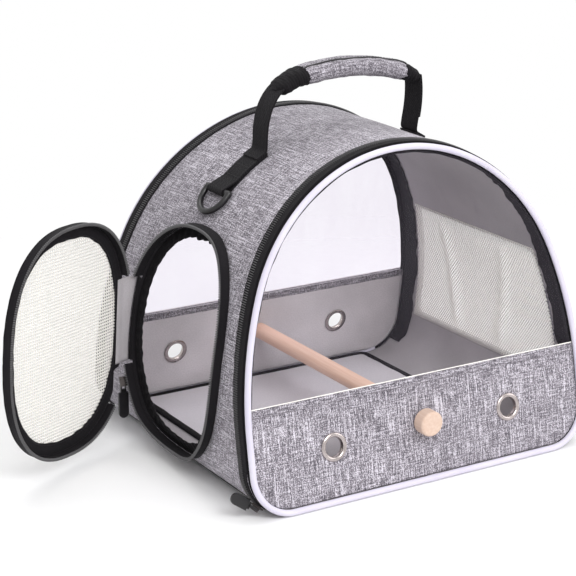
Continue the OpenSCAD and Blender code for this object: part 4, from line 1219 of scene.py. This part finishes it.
def flap(f):
    """Cloth flap: from the wall, out round the hinge line, and on to the door's border."""
    away, out, axis = door_axes()
    zs = np.linspace(FLAP_Z[0] + 0.3, FLAP_Z[1] - 0.3, 34)
    hinge = HINGE + (zs - HINGE[2])[:, None] * axis / axis[2]
    root = level(-f.half_width(zs, 0.45), 73.5, zs)
    bend = level(-f.half_width(zs, 2.0), 69.6, zs)
    lap, tip = (hinge + away * reach - out * 0.55 for reach in (3.2, 8.0))
    keys = np.stack([root, bend, hinge + [0.1, 0.15, 0], lap, tip], 1)
    t, at = np.linspace(0, 1, 19), np.array([0, 0.22, 0.55, 0.75, 1.0])
    curve = np.stack([np.stack([np.interp(t, at, row[:, k]) for k in range(3)], -1) for row in keys])
    for _ in range(2):
        curve[:, 1:-1] = (curve[:, :-2] + 2 * curve[:, 1:-1] + curve[:, 2:]) / 4
    curve[..., 0] -= 0.25 * wave_field(zs[:, None], t[None] * 30, 131, 22) * np.sin(math.pi * t)
    run = lengths(curve[len(zs) // 2])
    obj = thicken(Parts().grid(curve, zs, run).object("door_flap", "flap"), 0.6, 0)
    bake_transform(obj)
    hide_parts("hinge_flap")


def door_axes():
    """The open door's own directions: away from the hinge, outwards, and up its hinge line."""
    axis = np.array([math.sin(DOOR_LEAN), 0, math.cos(DOOR_LEAN)])
    away = np.array([0.0, -1.0, 0.0])
    c, s = math.cos(-DOOR_OPEN), math.sin(-DOOR_OPEN)
    turned = [v * c + np.cross(axis, v) * s + axis * (axis @ v) * (1 - c) for v in (away, np.cross(away, axis))]
    return turned[0], turned[1], axis


def on_door(s, w, n):
    """Points of the open door: s from the hinge, w up from the oval's middle, n outwards."""
    away, out, axis = door_axes()
    s, w, n = np.broadcast_arrays(s, w, n)
    return HINGE + s[..., None] * away + w[..., None] * axis + n[..., None] * out


def clear_of_hinge(s, w):
    """Keeps the border's hinge side clear of the hinge line, and of the slider below the flap."""
    return np.maximum(s, 0.75 + 9.0 * smooth(-w, 41.5, 43.5))


def side_door(f):
    """The open door: black border, the zip tape that stands from its inner side with its teeth, border
    stitches and a fine net of crossing threads."""
    q, normal, even, total = oval_loop(f.door_a + DOOR_OVER, f.door_b + DOOR_OVER, 420)
    middle = f.door_a - COLLAR_T / 2

    def ring(inset, n, p=q, d=normal):
        w = p[:, None, 1] - d[:, None, 1] * inset
        return on_door(clear_of_hinge(p[:, None, 0] - d[:, None, 0] * inset + middle, w), w, n)

    box = strip_profile(12.8, 2.2, 8, 0.9) + [6.6, 1.2]
    inset, n = np.moveaxis(carried(box, len(q)), -1, 0)
    inset += smooth(inset, 6, 13) * 0.5 * ripple(even, 141, 21)
    n += 0.18 * wave_field(even[:, None], inset, 143, 14)
    parts = Parts().torus(ring(inset, n), even, total, box)

    # tape that stands up towards the opening, from below the slider round the free edge to the flap
    order, run = kept_run(~((q[:, 0] < -20) & (q[:, 1] > -72) & (q[:, 1] < 41)), even, total)
    p, d = q[order], normal[order]
    wall = strip_profile(RIM_H + 0.4, 1.5, 4, 0.5)[:, ::-1] + [0.95, -RIM_H / 2 + 0.2]
    inset, n = np.moveaxis(carried(wall, len(p)), -1, 0)
    inset += 0.3 * wave_field(run[:, None], n, 145, 20) * smooth(-n, 0, 6) - 0.6 * smooth(-n, 2, 7)
    parts.tube(ring(inset, n, p, d), run, lengths(wall, True))
    shell_piece(parts, "door_border", "tape", "side_door", "black_tape", "door_frame")

    pick = np.linspace(2, run[-1] - 2, int(run[-1] / TOOTH_PITCH))
    p, d = evenly(p, pick, run), unit(evenly(d, pick, run))
    away, out, axis = door_axes()
    across = d[:, :1] * away + d[:, 1:] * axis
    centre = ring(0.5, -RIM_H, p, d)[:, 0]
    parts = ribs(Parts(), centre, unit(np.cross(across, out)), across, np.broadcast_to(-out, centre.shape),
                 *TOOTH, 1.3)
    shell_piece(parts, "door_ribs", "ribs", "side_door", "black_tape", sharp=50)

    parts = Parts()
    for high, way in ((2.32, 1), (0.06, -1)):
        for depth in (2.6, 11.4):
            line = ring(depth, high)[:, 0]
            stitches(parts, np.concatenate([line, line[:1]]), way * out, 3.2, 2.5, 0.4, 0.0)
    finish_piece(parts.object("door_stitches", "thread"), "side_door", "black_tape")

    # net: threads along both directions, the crossing ones over each other, cut at the oval
    loop = oval_loop(f.door_a - 9.0, f.door_b - 9.0, 300)[0] + [middle, 0]
    sag = lambda p: 1.2 - 1.2 * np.clip(1 - ((p[..., 0] - middle) / 70) ** 2 - (p[..., 1] / 88) ** 2, 0, 1)
    net_piece("door_mesh", loop, (0.0, math.pi / 2), f.net_pitch, on_door, 1.25, sag, 26, "side_door",
              "door_net")


def net_piece(name, loop, angles, pitch, place, width, height, steps, body, node):
    """A net of two crossing sets of threads, 0.3 thick, one raised and one lowered where they cross."""
    parts = Parts()
    for angle, lift in zip(angles, (-0.16, 0.16)):
        start, end = chords(loop, angle, pitch)
        thread_set(parts, start, end, place, width, 0.3, lambda p: height(p) + lift, steps)
    shell_piece(parts, name, "net", body, "white_mesh", node, weld=False)


def thread_set(parts, start, end, place, width, thick, height, steps):
    """Flat threads between start and end (K, 2): each a four-sided strip with steps along it; place maps
    plane points and their height to space."""
    t = np.linspace(0, 1, steps)[None, :, None]
    line = start[:, None] * (1 - t) + end[:, None] * t
    d = unit(end - start)
    side = np.stack([-d[:, 1], d[:, 0]], -1)[:, None]
    high = height(line)
    rows = []
    for a, b in ((0.5, -0.5), (0.5, 0.5), (-0.5, 0.5), (-0.5, -0.5)):
        p = line + side * width * a
        rows.append(place(p[..., 0], p[..., 1], high + thick * b))
    faces, _ = cells(steps, 4, close_v=True)
    one = np.concatenate([faces, [[0, 1, 2, 3], 4 * steps - np.arange(1, 5)]])
    return parts.add(np.stack(rows, 2).reshape(-1, 3), repeated(one, len(start), 4 * steps))


def chords(loop, angle, pitch):
    """Threads at an angle and a pitch across a convex loop of plane points: their two ends."""
    d = np.array([math.cos(angle), math.sin(angle)])
    normal = np.array([-d[1], d[0]])
    across, along = loop @ normal, loop @ d
    levels = np.arange(across.min() + pitch * 0.6, across.max() - pitch * 0.3, pitch)
    a1, l1 = np.roll(across, -1), np.roll(along, -1)
    cross = (across[None] - levels[:, None]) * (a1[None] - levels[:, None]) < 0
    share = (levels[:, None] - across[None]) / np.where(a1 == across, 1, a1 - across)[None]
    hit = along[None] + share * (l1 - along)[None]
    low = np.where(cross, hit, np.inf).min(1)
    high = np.where(cross, hit, -np.inf).max(1)
    return low[:, None] * d + levels[:, None] * normal, high[:, None] * d + levels[:, None] * normal


def side_window(f):
    """Net of the right window: diagonal threads with two slack upright folds, and a hem round it."""
    def corner_loop(grow):
        z0, z1 = WINDOW_Z[0] - grow, WINDOW_Z[1] + grow
        y0, y1 = (f.half_d - WINDOW_RIM + grow - z * f.slope for z in (z0, z1))
        keys = np.array([[-y0, z0], [y0, z0], [y1, z1], [-y1, z1], [-y0, z0]])
        return evenly(keys, np.linspace(0, 4, 241)[:-1], np.arange(5))

    def slack(p):
        y, z = p[..., 0], p[..., 1]
        inside = smooth(z, WINDOW_Z[0], WINDOW_Z[0] + 20) * smooth(-z, -WINDOW_Z[1], -WINDOW_Z[1] + 20)
        fold = np.exp(-((y - 34 - 0.1 * z) / 7) ** 2) + 0.8 * np.exp(-((y + 18 + 0.16 * z) / 8) ** 2)
        return 3.9 + inside * (2.2 * fold + 0.6 + 0.5 * wave_field(y, z, 151, 70))

    place = lambda y, z, h: np.stack([f.half_width(z, 0.0) - h, y, z], -1)
    net_piece("side_net", corner_loop(3.0), np.radians((52, 128)), 2.3, place, 1.0, slack, 30, "tunnel",
              "right_mesh")

    # hem: the outer cloth turned in round the opening, from its face to behind the net
    loop = corner_loop(0.0)
    loop = sum(np.roll(loop, k, 0) for k in range(-3, 4)) / 7
    a = np.linspace(0, math.pi, 7)
    turn = np.concatenate([[[3.6, 0.15]], np.stack([-1.2 * np.sin(a), -1.55 + 1.9 * np.cos(a)], -1),
                           [[3.6, -3.45], [3.6, -2.6], [0.3, -2.6], [0.3, -0.5], [3.6, -0.6]]])
    p = loop[:, None] + loop_normals(loop)[:, None] * turn[None, :, :1]
    points = np.stack([f.half_width(p[..., 1], 0) + turn[None, :, 1], p[..., 0], p[..., 1]], -1)
    parts = Parts().grid(points, lengths(loop, True), lengths(turn, True), True, True)
    shell_piece(parts, "window_hem", "heather_grip", "tunnel", "heather_fabric")


# ---------------------------------------------------------------- floor


PAD_LOW, PAD_TOP = 3.45, 5.75   # heights of the floor pad's two faces at its edge


def floor_loop(w, d, n):
    """n points evenly along the floor's rounded rectangle, with outward normals."""
    keys = rounded_corners(w, d, 8, 14)
    s = lengths(keys, True)
    even = np.linspace(0, s[-1], n, endpoint=False)
    p = evenly(np.concatenate([keys, keys[:1]]), even, s)
    return p, loop_normals(p), even, s[-1]


def floor_pad(f):
    """Floor pad: a thin board in cloth, its top drawn together ring by ring to a line and crowned by
    half a millimetre, and the black binding folded round its edge."""
    w, d = f.floor_w, f.body_d - 14.4
    p, _, even, total = floor_loop(w - 1, d - 1, 360)
    share = np.linspace(0, 1, 26)
    skin = np.stack([p * (1 - 0.995 * t) for t in share])
    quilt = 0.35 * np.exp(-((share - 0.10) / 0.012) ** 2) + 0.3 * np.exp(-((share - 0.155) / 0.012) ** 2)
    high = PAD_TOP + (0.35 * smooth(share, 0, 0.3))[:, None] - quilt[:, None]
    high = high + 0.22 * wave_field(skin[..., 0], skin[..., 1], 161, 60)
    shell = np.concatenate([level(skin[::-1, :, 0], skin[::-1, :, 1], PAD_LOW),
                            level(skin[..., 0], skin[..., 1], high)])
    parts = Parts().grid(shell, np.arange(len(shell)) * 4.0, np.append(even, total), close_v=True)
    obj = turn_out(parts.cap(shell[0]).cap(shell[-1]).object("floor_pad", "pad"))
    uv_from_xy(obj)
    finish_piece(obj, "tunnel", "board", "floor_board")

    p, normal, even, _ = floor_loop(w, d, 400)
    edge = arc_points(np.linspace(-math.pi / 2, math.pi / 2, 7), 0.3, 5.0, 1.2, 1.55)
    profile = carried(np.concatenate([[[-4.9, 5.95], [-4.9, 3.42]], edge, [[-2.4, 6.6]]]), len(p))
    profile[..., 0] += 0.35 * ripple(even, 165, 22) * smooth(-profile[..., 0], 1, 4)
    parts = sweep(Parts(), level(p[:, 0], p[:, 1], 0), level(normal[:, 0], normal[:, 1], 0), [0.0, 0.0, 1.0],
                  profile, closed=True)
    shell_piece(parts, "floor_edge", "elastic", "tunnel", "black_tape", "floor_binding")


def uv_from_xy(obj):
    """Lays a piece's uv map flat: u is x and v is y, in metres."""
    mesh = obj.data
    co = np.zeros(len(mesh.vertices) * 3, np.float32)
    mesh.vertices.foreach_get("co", co)
    index = np.zeros(len(mesh.loops), np.int32)
    mesh.loops.foreach_get("vertex_index", index)
    mesh.uv_layers["cloth"].data.foreach_set("uv", co.reshape(-1, 3)[index][:, :2].ravel())


# ---------------------------------------------------------------- handle

LIFT = np.array([76.0, 268.73])
LEFT_HIGH = np.array([-50.0, 323.98])
RIGHT_HIGH = np.array([79.0, 317.48])
GRIP_MID = (LEFT_HIGH + RIGHT_HIGH) / 2
GRIP_TILT = math.atan2(6.5, 129.0)
GRIP_R = 211.8                      # radius of the grip's arch
GRIP_RISE = 9.0                     # rise of the arch over the line between the straps' tops
GRIP_HALF = 54.0                    # half length of the padded part


BAR = np.array([-117.04, 237.03])   # the bar of the left ring, on which it swings
SWELL = 2 / 2.35                    # power of the grip's section, a superellipse
STRAP_END = -75.8                   # where the left sewn webbing ends on the roof
# pleats of the grip: angle round the section, how far it wanders, depth and width
PLEATS = ((0.25, 0.10, 0.75, 0.10), (0.8, 0.12, 0.65, 0.09), (1.35, 0.08, 0.8, 0.08),
          (1.95, 0.12, 0.6, 0.10), (2.5, 0.1, 0.7, 0.09), (4.0, 0.1, 0.7, 0.1), (4.7, 0.08, 0.9, 0.07),
          (5.4, 0.1, 0.6, 0.1))


def in_plane(line, y=0.0):
    """Points of a line in the plane of X and Z, at a place along Y."""
    return level(line[:, 0], y, line[:, 1])


def webbing(parts, line, width, thick):
    """Webbing along a line of points in the plane of X and Z: a flat strip with rounded edges."""
    p = in_plane(line)
    side = np.array([0.0, 1.0, 0.0])
    box = strip_profile(width, thick, 8, thick * 0.48)
    box[:, 1] += 0.12 * np.cos(box[:, 0] * TAU / 6.2) * np.sign(box[:, 1])
    return sweep(parts, p, side, np.cross(unit(np.gradient(p, axis=0)), side), box)


def smooth_line(keys, n, rounds):
    """An even line of n points through rounded-off keys: corners are cut a few times over."""
    p = np.asarray(keys, float)
    for _ in range(rounds):
        q, r = p[:-1] * 0.75 + p[1:] * 0.25, p[:-1] * 0.25 + p[1:] * 0.75
        p = np.concatenate([p[:1], np.stack([q, r], 1).reshape(-1, 2), p[-1:]])
    s = lengths(p)
    return evenly(p, np.linspace(0, s[-1], n), s)


def roof_line(f, x0, x1, off, n):
    """Points above the crown arc from x0 to x1 at an offset."""
    x = np.linspace(x0, x1, n)
    return np.stack([x, f.crown_z + np.sqrt((f.crown_r + off) ** 2 - x ** 2)], -1)


def handle_webbing(f):
    """Webbing sewn to the roof and looped through both D-rings, and the two free straps that rise from it to
    the grip, each from a short foot that lies on the roof."""
    loop_a = math.acos(-114 / f.crown_r)
    ring = arc_points(np.linspace(loop_a - math.pi, loop_a - TAU, 17)[1:-1], *BAR, 3.5, 3.5)
    line = smooth_line(np.concatenate([roof_line(f, STRAP_END, -113.6, 0.8, 26), ring,
                                       roof_line(f, -105.0, STRAP_END, 2.35, 22)]), 110, 1)
    parts = webbing(Parts(), line, f.web_w - 0.3, 1.35)
    webbing(parts, (line * [-1, 1])[::-1], f.web_w - 0.3, 1.35)
    shell_piece(parts, "roof_webbing", "webbing", "tunnel", "black_tape", "roof_straps")

    parts, sewn, edge = Parts(), (2.6, 2.1, 0.4, 0.0), f.web_w / 2 - 2.2
    for side in (-1, 1):
        top = roof_line(f, -103.5, -80.0, 3.12, 20) * [-side, 1]
        n = in_plane(unit(top - [0, f.crown_z]))
        for y in (-edge, edge):
            stitches(parts, in_plane(top, y), n, *sewn)
        for k in (0, 8, 19):
            stitches(parts, level(top[k, 0], np.linspace(-edge, edge, 12), top[k, 1]), n[k], *sewn)
    finish_piece(parts.object("roof_stitches", "thread"), "tunnel", "black_tape")

    for name, side, pull, high in (("left", -1, (-2, 43), LEFT_HIGH), ("right", 1, (7, 28), RIGHT_HIGH)):
        low = LIFT * [side, 1]
        t = np.linspace(0, 1, 26)[:, None]
        bow = (1 - t) ** 2 * low + 2 * t * (1 - t) * (low + pull) + t * t * high
        foot = roof_line(f, side * 86.0, side * 77.5, 3.75, 8)
        line = smooth_line(np.concatenate([foot[:-1], [low + [side * 0.4, -1.2]], bow[3:]]), 80, 2)
        parts = webbing(Parts(), line, f.web_w - 0.6, 1.3)
        if name == "right":
            webbing(parts, line[30:] + [1.5, 0], f.web_w - 0.8, 1.2)
        obj = turn_out(parts.object(name + "_webbing", "webbing"))
        start, end = (tuple(np.array([low[0] + side * x, 0, low[1] + z]) * M)
                      for x, z in ((1.5, -1.8), (0.4, 4.0)))
        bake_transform(obj)
        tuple(start)
        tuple(end)
        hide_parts(name + "_strap")


def grip_point(a, y, h):
    """Points of the grip: angle a along its arch from the middle, y across, h out from its centre line."""
    a, y, h = np.broadcast_arrays(a, y, h)
    x, z = (GRIP_R + h) * np.sin(a), (GRIP_R + h) * np.cos(a) + GRIP_RISE - GRIP_R
    c, s = math.cos(GRIP_TILT), math.sin(GRIP_TILT)
    return np.stack([GRIP_MID[0] + x * c + z * s, y, GRIP_MID[1] - x * s + z * c], -1)


def grip():
    """Padded grip: a flattened round section carried along the arch, drawn in at both ends, with pleats
    that run lengthwise and wander, fine cross wrinkles at the ends and a raised cord on one edge."""
    reach = math.asin(GRIP_HALF / GRIP_R)
    t = np.linspace(-1, 1, 150)
    a = t * reach
    phi = np.linspace(0, TAU, 132, endpoint=False)
    end = smooth(1 - np.abs(t), 0, 0.16)
    cy, ch = superellipse(phi, 1, 1, SWELL).T
    wide, thick = (13.4 + 1.5 * end)[:, None], (6.9 + 1.5 * end)[:, None]
    relief = np.zeros((len(t), len(phi)))
    for k, (at, drift, deep, width) in enumerate(PLEATS, 1):
        centre = at + drift * ripple(t * 60, 170 + k, 60)
        fade = 0.35 + 0.65 * smooth(ripple(t * 60, 180 + k, 45), -0.6, 0.5)
        relief -= deep * fade * np.exp(-(turn_from(phi[None], centre) / width) ** 2)
    relief += 0.28 * wave_field(t[:, None] * 54, phi[None] * 9, 191, 14)
    relief += (0.15 * (1 - end))[:, None] * np.sin(phi * 17 + 1.4 * np.sin(3 * phi))[None]
    bare = 1 + relief / thick
    y, h = wide * cy[None] * bare, thick * ch[None] * bare
    parts = Parts().tube(grip_point(a[:, None], y, h), a * GRIP_R, lengths(np.stack([y[75], h[75]], -1), True))
    obj = turn_out(parts.object("grip_pad", "heather_grip"))
    finish_piece(obj, "grip", "heather_fabric", "handle_grip")

    # cord along the edge of the flap that closes the grip, and its stitches
    cord_at, grow = 0.62 * math.pi, 1.035
    k, inner = nearest(phi, cord_at), slice(4, -4)
    line = grip_point(a[inner], y[inner, k] * grow, h[inner, k] * grow)
    tangent = unit(np.gradient(line, axis=0))
    up = unit(line - grip_point(a[inner], 0, 0))
    up = unit(up - (up * tangent).sum(1, keepdims=True) * tangent)
    profile = arc_points(np.linspace(0, TAU, 10, endpoint=False), 0, 0, 0.85, 0.75)
    shell_piece(sweep(Parts(), line, np.cross(tangent, up), up, profile), "grip_cord", "thread", "grip",
                "black_tape")
    k, inner = nearest(phi, cord_at - 0.28), slice(5, -5)
    line = grip_point(a[inner], y[inner, k], h[inner, k])
    parts = stitches(Parts(), line, unit(line - grip_point(a[inner], 0, 0)), 3.0, 2.4, 0.45, 0.05)
    finish_piece(parts.object("grip_stitches", "thread"), "grip", "heather_fabric")

    # cuffs: wrinkled sleeves from the pad's ends over the straps' tops
    parts = Parts()
    u = np.linspace(0, 1, 46)
    phi = np.linspace(0, TAU, 90, endpoint=False)
    cy, ch = superellipse(phi, 1, 1, SWELL).T
    round_off = np.sqrt(np.clip(1 - smooth(u, 0.72, 1.0) ** 2 * 0.9, 0, 1))[:, None]
    for side, past, sag in ((-1, 24, 3.2), (1, 13, 1.5)):
        at = side * (reach - 0.022 + u * (math.asin((GRIP_HALF + past) / GRIP_R) - reach + 0.022))
        crease = 0.5 * wave_field(u[:, None] * 26, phi[None] * 5, 201 + side, 7) + 0.35 * np.sin(
            u[:, None] * 30 + 2.2 * np.sin(phi[None] * 2 + side))
        wide = (14.3 - 1.2 * u)[:, None] * round_off * (1 + crease / 22)
        thick = (7.9 - 2.2 * u)[:, None] * round_off * (1 + crease / 9)
        points = grip_point(at[:, None], wide * cy, thick * ch - sag * smooth(u, 0.2, 1.0)[:, None])
        parts.tube(points, u * 20, lengths(np.stack([wide[20] * cy, thick[20] * ch], -1), True))
    shell_piece(parts, "grip_cuffs", "elastic", "grip", "black_tape", "handle_cuffs")


def bare_nodes():
    """Gives the CAD nodes that stay in view their finishes."""
    chosen = {
        "wall_board": "lining_board", "base_piping": "thread", "perch_screw": "metal",
        "perch_washer": "metal", "perch_dowel": "perch", "perch_knob": "knob",
        "left_d_ring": "plastic", "right_d_ring": "plastic", "front_slider": "slider",
        "back_slider": "slider", "door_slider": "slider", "front_puller": "plastic",
        "back_puller": "plastic", "door_puller": "plastic",
    }
    for name, look in chosen.items():
        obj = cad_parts[name]
        if not obj.data.materials:
            obj.data.materials.append(finish(look))
        for slot in obj.material_slots:
            slot.material = finish(look)


# ---------------------------------------------------------------- stage

CAMERA_AT = (-0.86132, -1.34620, 0.63422)
CAMERA_LOOK = (0.4930, 0.8165, -0.3003)
CAMERA_RIGHT = (0.8561, -0.5168, 0.0007)
CAMERA_LENS = 117.65
STAGE_Z = -0.6


def camera():
    """The camera at the photograph's angle: its axes are given, and its place is in metres."""
    data = bpy.data.cameras.new("photo_camera")
    data.lens, data.sensor_width, data.sensor_fit = CAMERA_LENS, 36.0, "HORIZONTAL"
    data.clip_start, data.clip_end = 0.01, 50.0
    obj = bpy.data.objects.new("photo_camera", data)
    bpy.context.scene.collection.objects.link(obj)
    back = -Vector(CAMERA_LOOK).normalized()
    right = (Vector(CAMERA_RIGHT) - Vector(CAMERA_RIGHT).dot(back) * back).normalized()
    up = back.cross(right)
    turn = Matrix((right, up, back)).transposed().to_4x4()
    obj.matrix_world = Matrix.Translation(CAMERA_AT) @ turn
    bpy.context.scene.camera = obj


def lamp(name, place, aim, size, power):
    data = bpy.data.lights.new(name, "AREA")
    data.shape, data.size, data.size_y, data.energy = "RECTANGLE", size[0], size[1], power
    obj = bpy.data.objects.new(name, data)
    obj.location = place
    obj.rotation_euler = (Vector(aim) - Vector(place)).to_track_quat("-Z", "Y").to_euler()
    bpy.context.scene.collection.objects.link(obj)


def stage_floor():
    """A round floor, a fan of rings, whose own material fades into the white surround away from the
    carrier and keeps its shadow near it."""
    a = np.linspace(0, TAU, 96, endpoint=False)
    r = np.array([0.002, 300, 600, 900, 1500, 3000])
    points = level(r[:, None] * np.cos(a), r[:, None] * np.sin(a), STAGE_Z)
    material, g, shader = new_finish("stage_floor", Base_Color=(0.93, 0.93, 0.935, 1), Roughness=0.8,
                                     Specular_IOR_Level=0.1)
    clear = g.put("ShaderNodeBsdfTransparent")
    far = g.put("ShaderNodeVectorMath", {0: g.place()}, operation="LENGTH").outputs["Value"]
    share = g.put("ShaderNodeMixShader", {0: g.fit(far, 0.38, 0.85), 1: shader.outputs[0], 2: clear.outputs[0]})
    output = next(n for n in g.tree.nodes if n.type == "OUTPUT_MATERIAL")
    g.feed(output, Surface=share.outputs[0])
    obj = Parts().grid(points, r, np.append(a, TAU), close_v=True).object("stage_floor", material)


def surround():
    """White for the camera, gloss and film; a softer even light for everything else."""
    world = bpy.data.worlds.new("surround")
    bpy.context.scene.world = world
    world.use_nodes = True
    world.node_tree.nodes.clear()
    g = Graph(world.node_tree)
    path = g.put("ShaderNodeLightPath").outputs
    seen = g.math("MAXIMUM", g.math("MAXIMUM", path["Is Camera Ray"], path["Is Glossy Ray"]),
                  path["Is Transmission Ray"])
    soft = g.put("ShaderNodeBackground", {"Color": (1, 1, 1, 1), "Strength": 0.62})
    white = g.put("ShaderNodeBackground", {"Color": (1, 1, 1, 1), "Strength": 1.0})
    both = g.put("ShaderNodeMixShader", {0: seen, 1: soft.outputs[0], 2: white.outputs[0]})
    g.put("ShaderNodeOutputWorld", {"Surface": both.outputs[0]})


# ---------------------------------------------------------------- operators and panel


class CarrierStep(bpy.types.Operator):
    """One group of the carrier's pieces."""
    bl_options = {"REGISTER", "UNDO"}

    def execute(self, context):
        self.make(form())
        return {"FINISHED"}


class CARRIER_OT_stage(CarrierStep):
    """Camera at the photograph's angle, soft lamps, pale floor and white surround"""
    bl_idname, bl_label = "carrier.stage", "Stage"

    def make(self, f):
        camera()
        surround()
        stage_floor()
        lamp("key", (-0.9, -1.6, 1.9), (0, 0, 0.12), (1.6, 1.2), 16)
        lamp("front", (-0.1, -1.25, 0.95), (0, 0.1, 0.08), (0.7, 0.5), 9)
        lamp("fill", (1.7, -1.2, 1.0), (0, 0, 0.15), (1.4, 1.4), 12)
        lamp("top", (0.1, 0.6, 2.1), (0, 0, 0.15), (1.6, 1.6), 16)


class CARRIER_OT_tunnel(CarrierStep):
    """Outer cloth and lining of the arched tunnel"""
    bl_idname, bl_label = "carrier.tunnel", "Tunnel"

    def make(self, f):
        tunnel_cloth(f)
        lining_cloth(f)


class CARRIER_OT_front_end(CarrierStep):
    """Front panel with its zip, piping, film, band and eyelets"""
    bl_idname, bl_label = "carrier.front_end", "Front end"

    def make(self, f):
        end_pieces(f, True)


class CARRIER_OT_back_end(CarrierStep):
    """Back panel with its zip, piping, film, band and eyelets"""
    bl_idname, bl_label = "carrier.back_end", "Back end"

    def make(self, f):
        end_pieces(f, False)


class CARRIER_OT_door(CarrierStep):
    """Collar, gathered binding, flap, and the open side door with its net"""
    bl_idname, bl_label = "carrier.door", "Side door"

    def make(self, f):
        door_surround(f)
        side_door(f)


class CARRIER_OT_window(CarrierStep):
    """Net and hem of the right window"""
    bl_idname, bl_label = "carrier.window", "Side window"

    def make(self, f):
        side_window(f)


class CARRIER_OT_floor(CarrierStep):
    """Floor pad and its binding"""
    bl_idname, bl_label = "carrier.floor", "Floor pad"

    def make(self, f):
        floor_pad(f)


class CARRIER_OT_handle(CarrierStep):
    """Webbing, free straps, padded grip and cuffs"""
    bl_idname, bl_label = "carrier.handle", "Handle"

    def make(self, f):
        handle_webbing(f)
        grip()


class CARRIER_OT_hardware(CarrierStep):
    """Finishes of the perch, rings, sliders and pullers"""
    bl_idname, bl_label = "carrier.hardware", "Perch and hardware"

    def make(self, f):
        bare_nodes()


STEPS = (CARRIER_OT_stage, CARRIER_OT_tunnel, CARRIER_OT_front_end, CARRIER_OT_back_end,
         CARRIER_OT_door, CARRIER_OT_window, CARRIER_OT_floor, CARRIER_OT_handle, CARRIER_OT_hardware)


class CARRIER_PT_panel(bpy.types.Panel):
    """The carrier's sizes, colours and steps"""
    bl_label, bl_category = "Bird carrier", "Carrier"
    bl_space_type, bl_region_type = "VIEW_3D", "UI"

    def draw(self, context):
        for step in STEPS:
            self.layout.operator(step.bl_idname)
        for group_of in (context.scene.carrier_sizes, context.scene.carrier_colours):
            for name in group_of.__annotations__:
                self.layout.prop(group_of, name)


CLASSES = (CarrierSizes, CarrierColours) + STEPS + (CARRIER_PT_panel,)


def register():
    for item in CLASSES:
        bpy.utils.register_class(item)
    bpy.types.Scene.carrier_sizes = bpy.props.PointerProperty(type=CarrierSizes)
    bpy.types.Scene.carrier_colours = bpy.props.PointerProperty(type=CarrierColours)


def unregister():
    del bpy.types.Scene.carrier_colours
    del bpy.types.Scene.carrier_sizes
    for item in reversed(CLASSES):
        bpy.utils.unregister_class(item)


def main():
    register()
    bpy.context.scene.view_settings.view_transform = "Standard"
    for step in STEPS:
        getattr(bpy.ops.carrier, step.bl_idname.split(".")[1])()


if __name__ == "__main__":
    main()
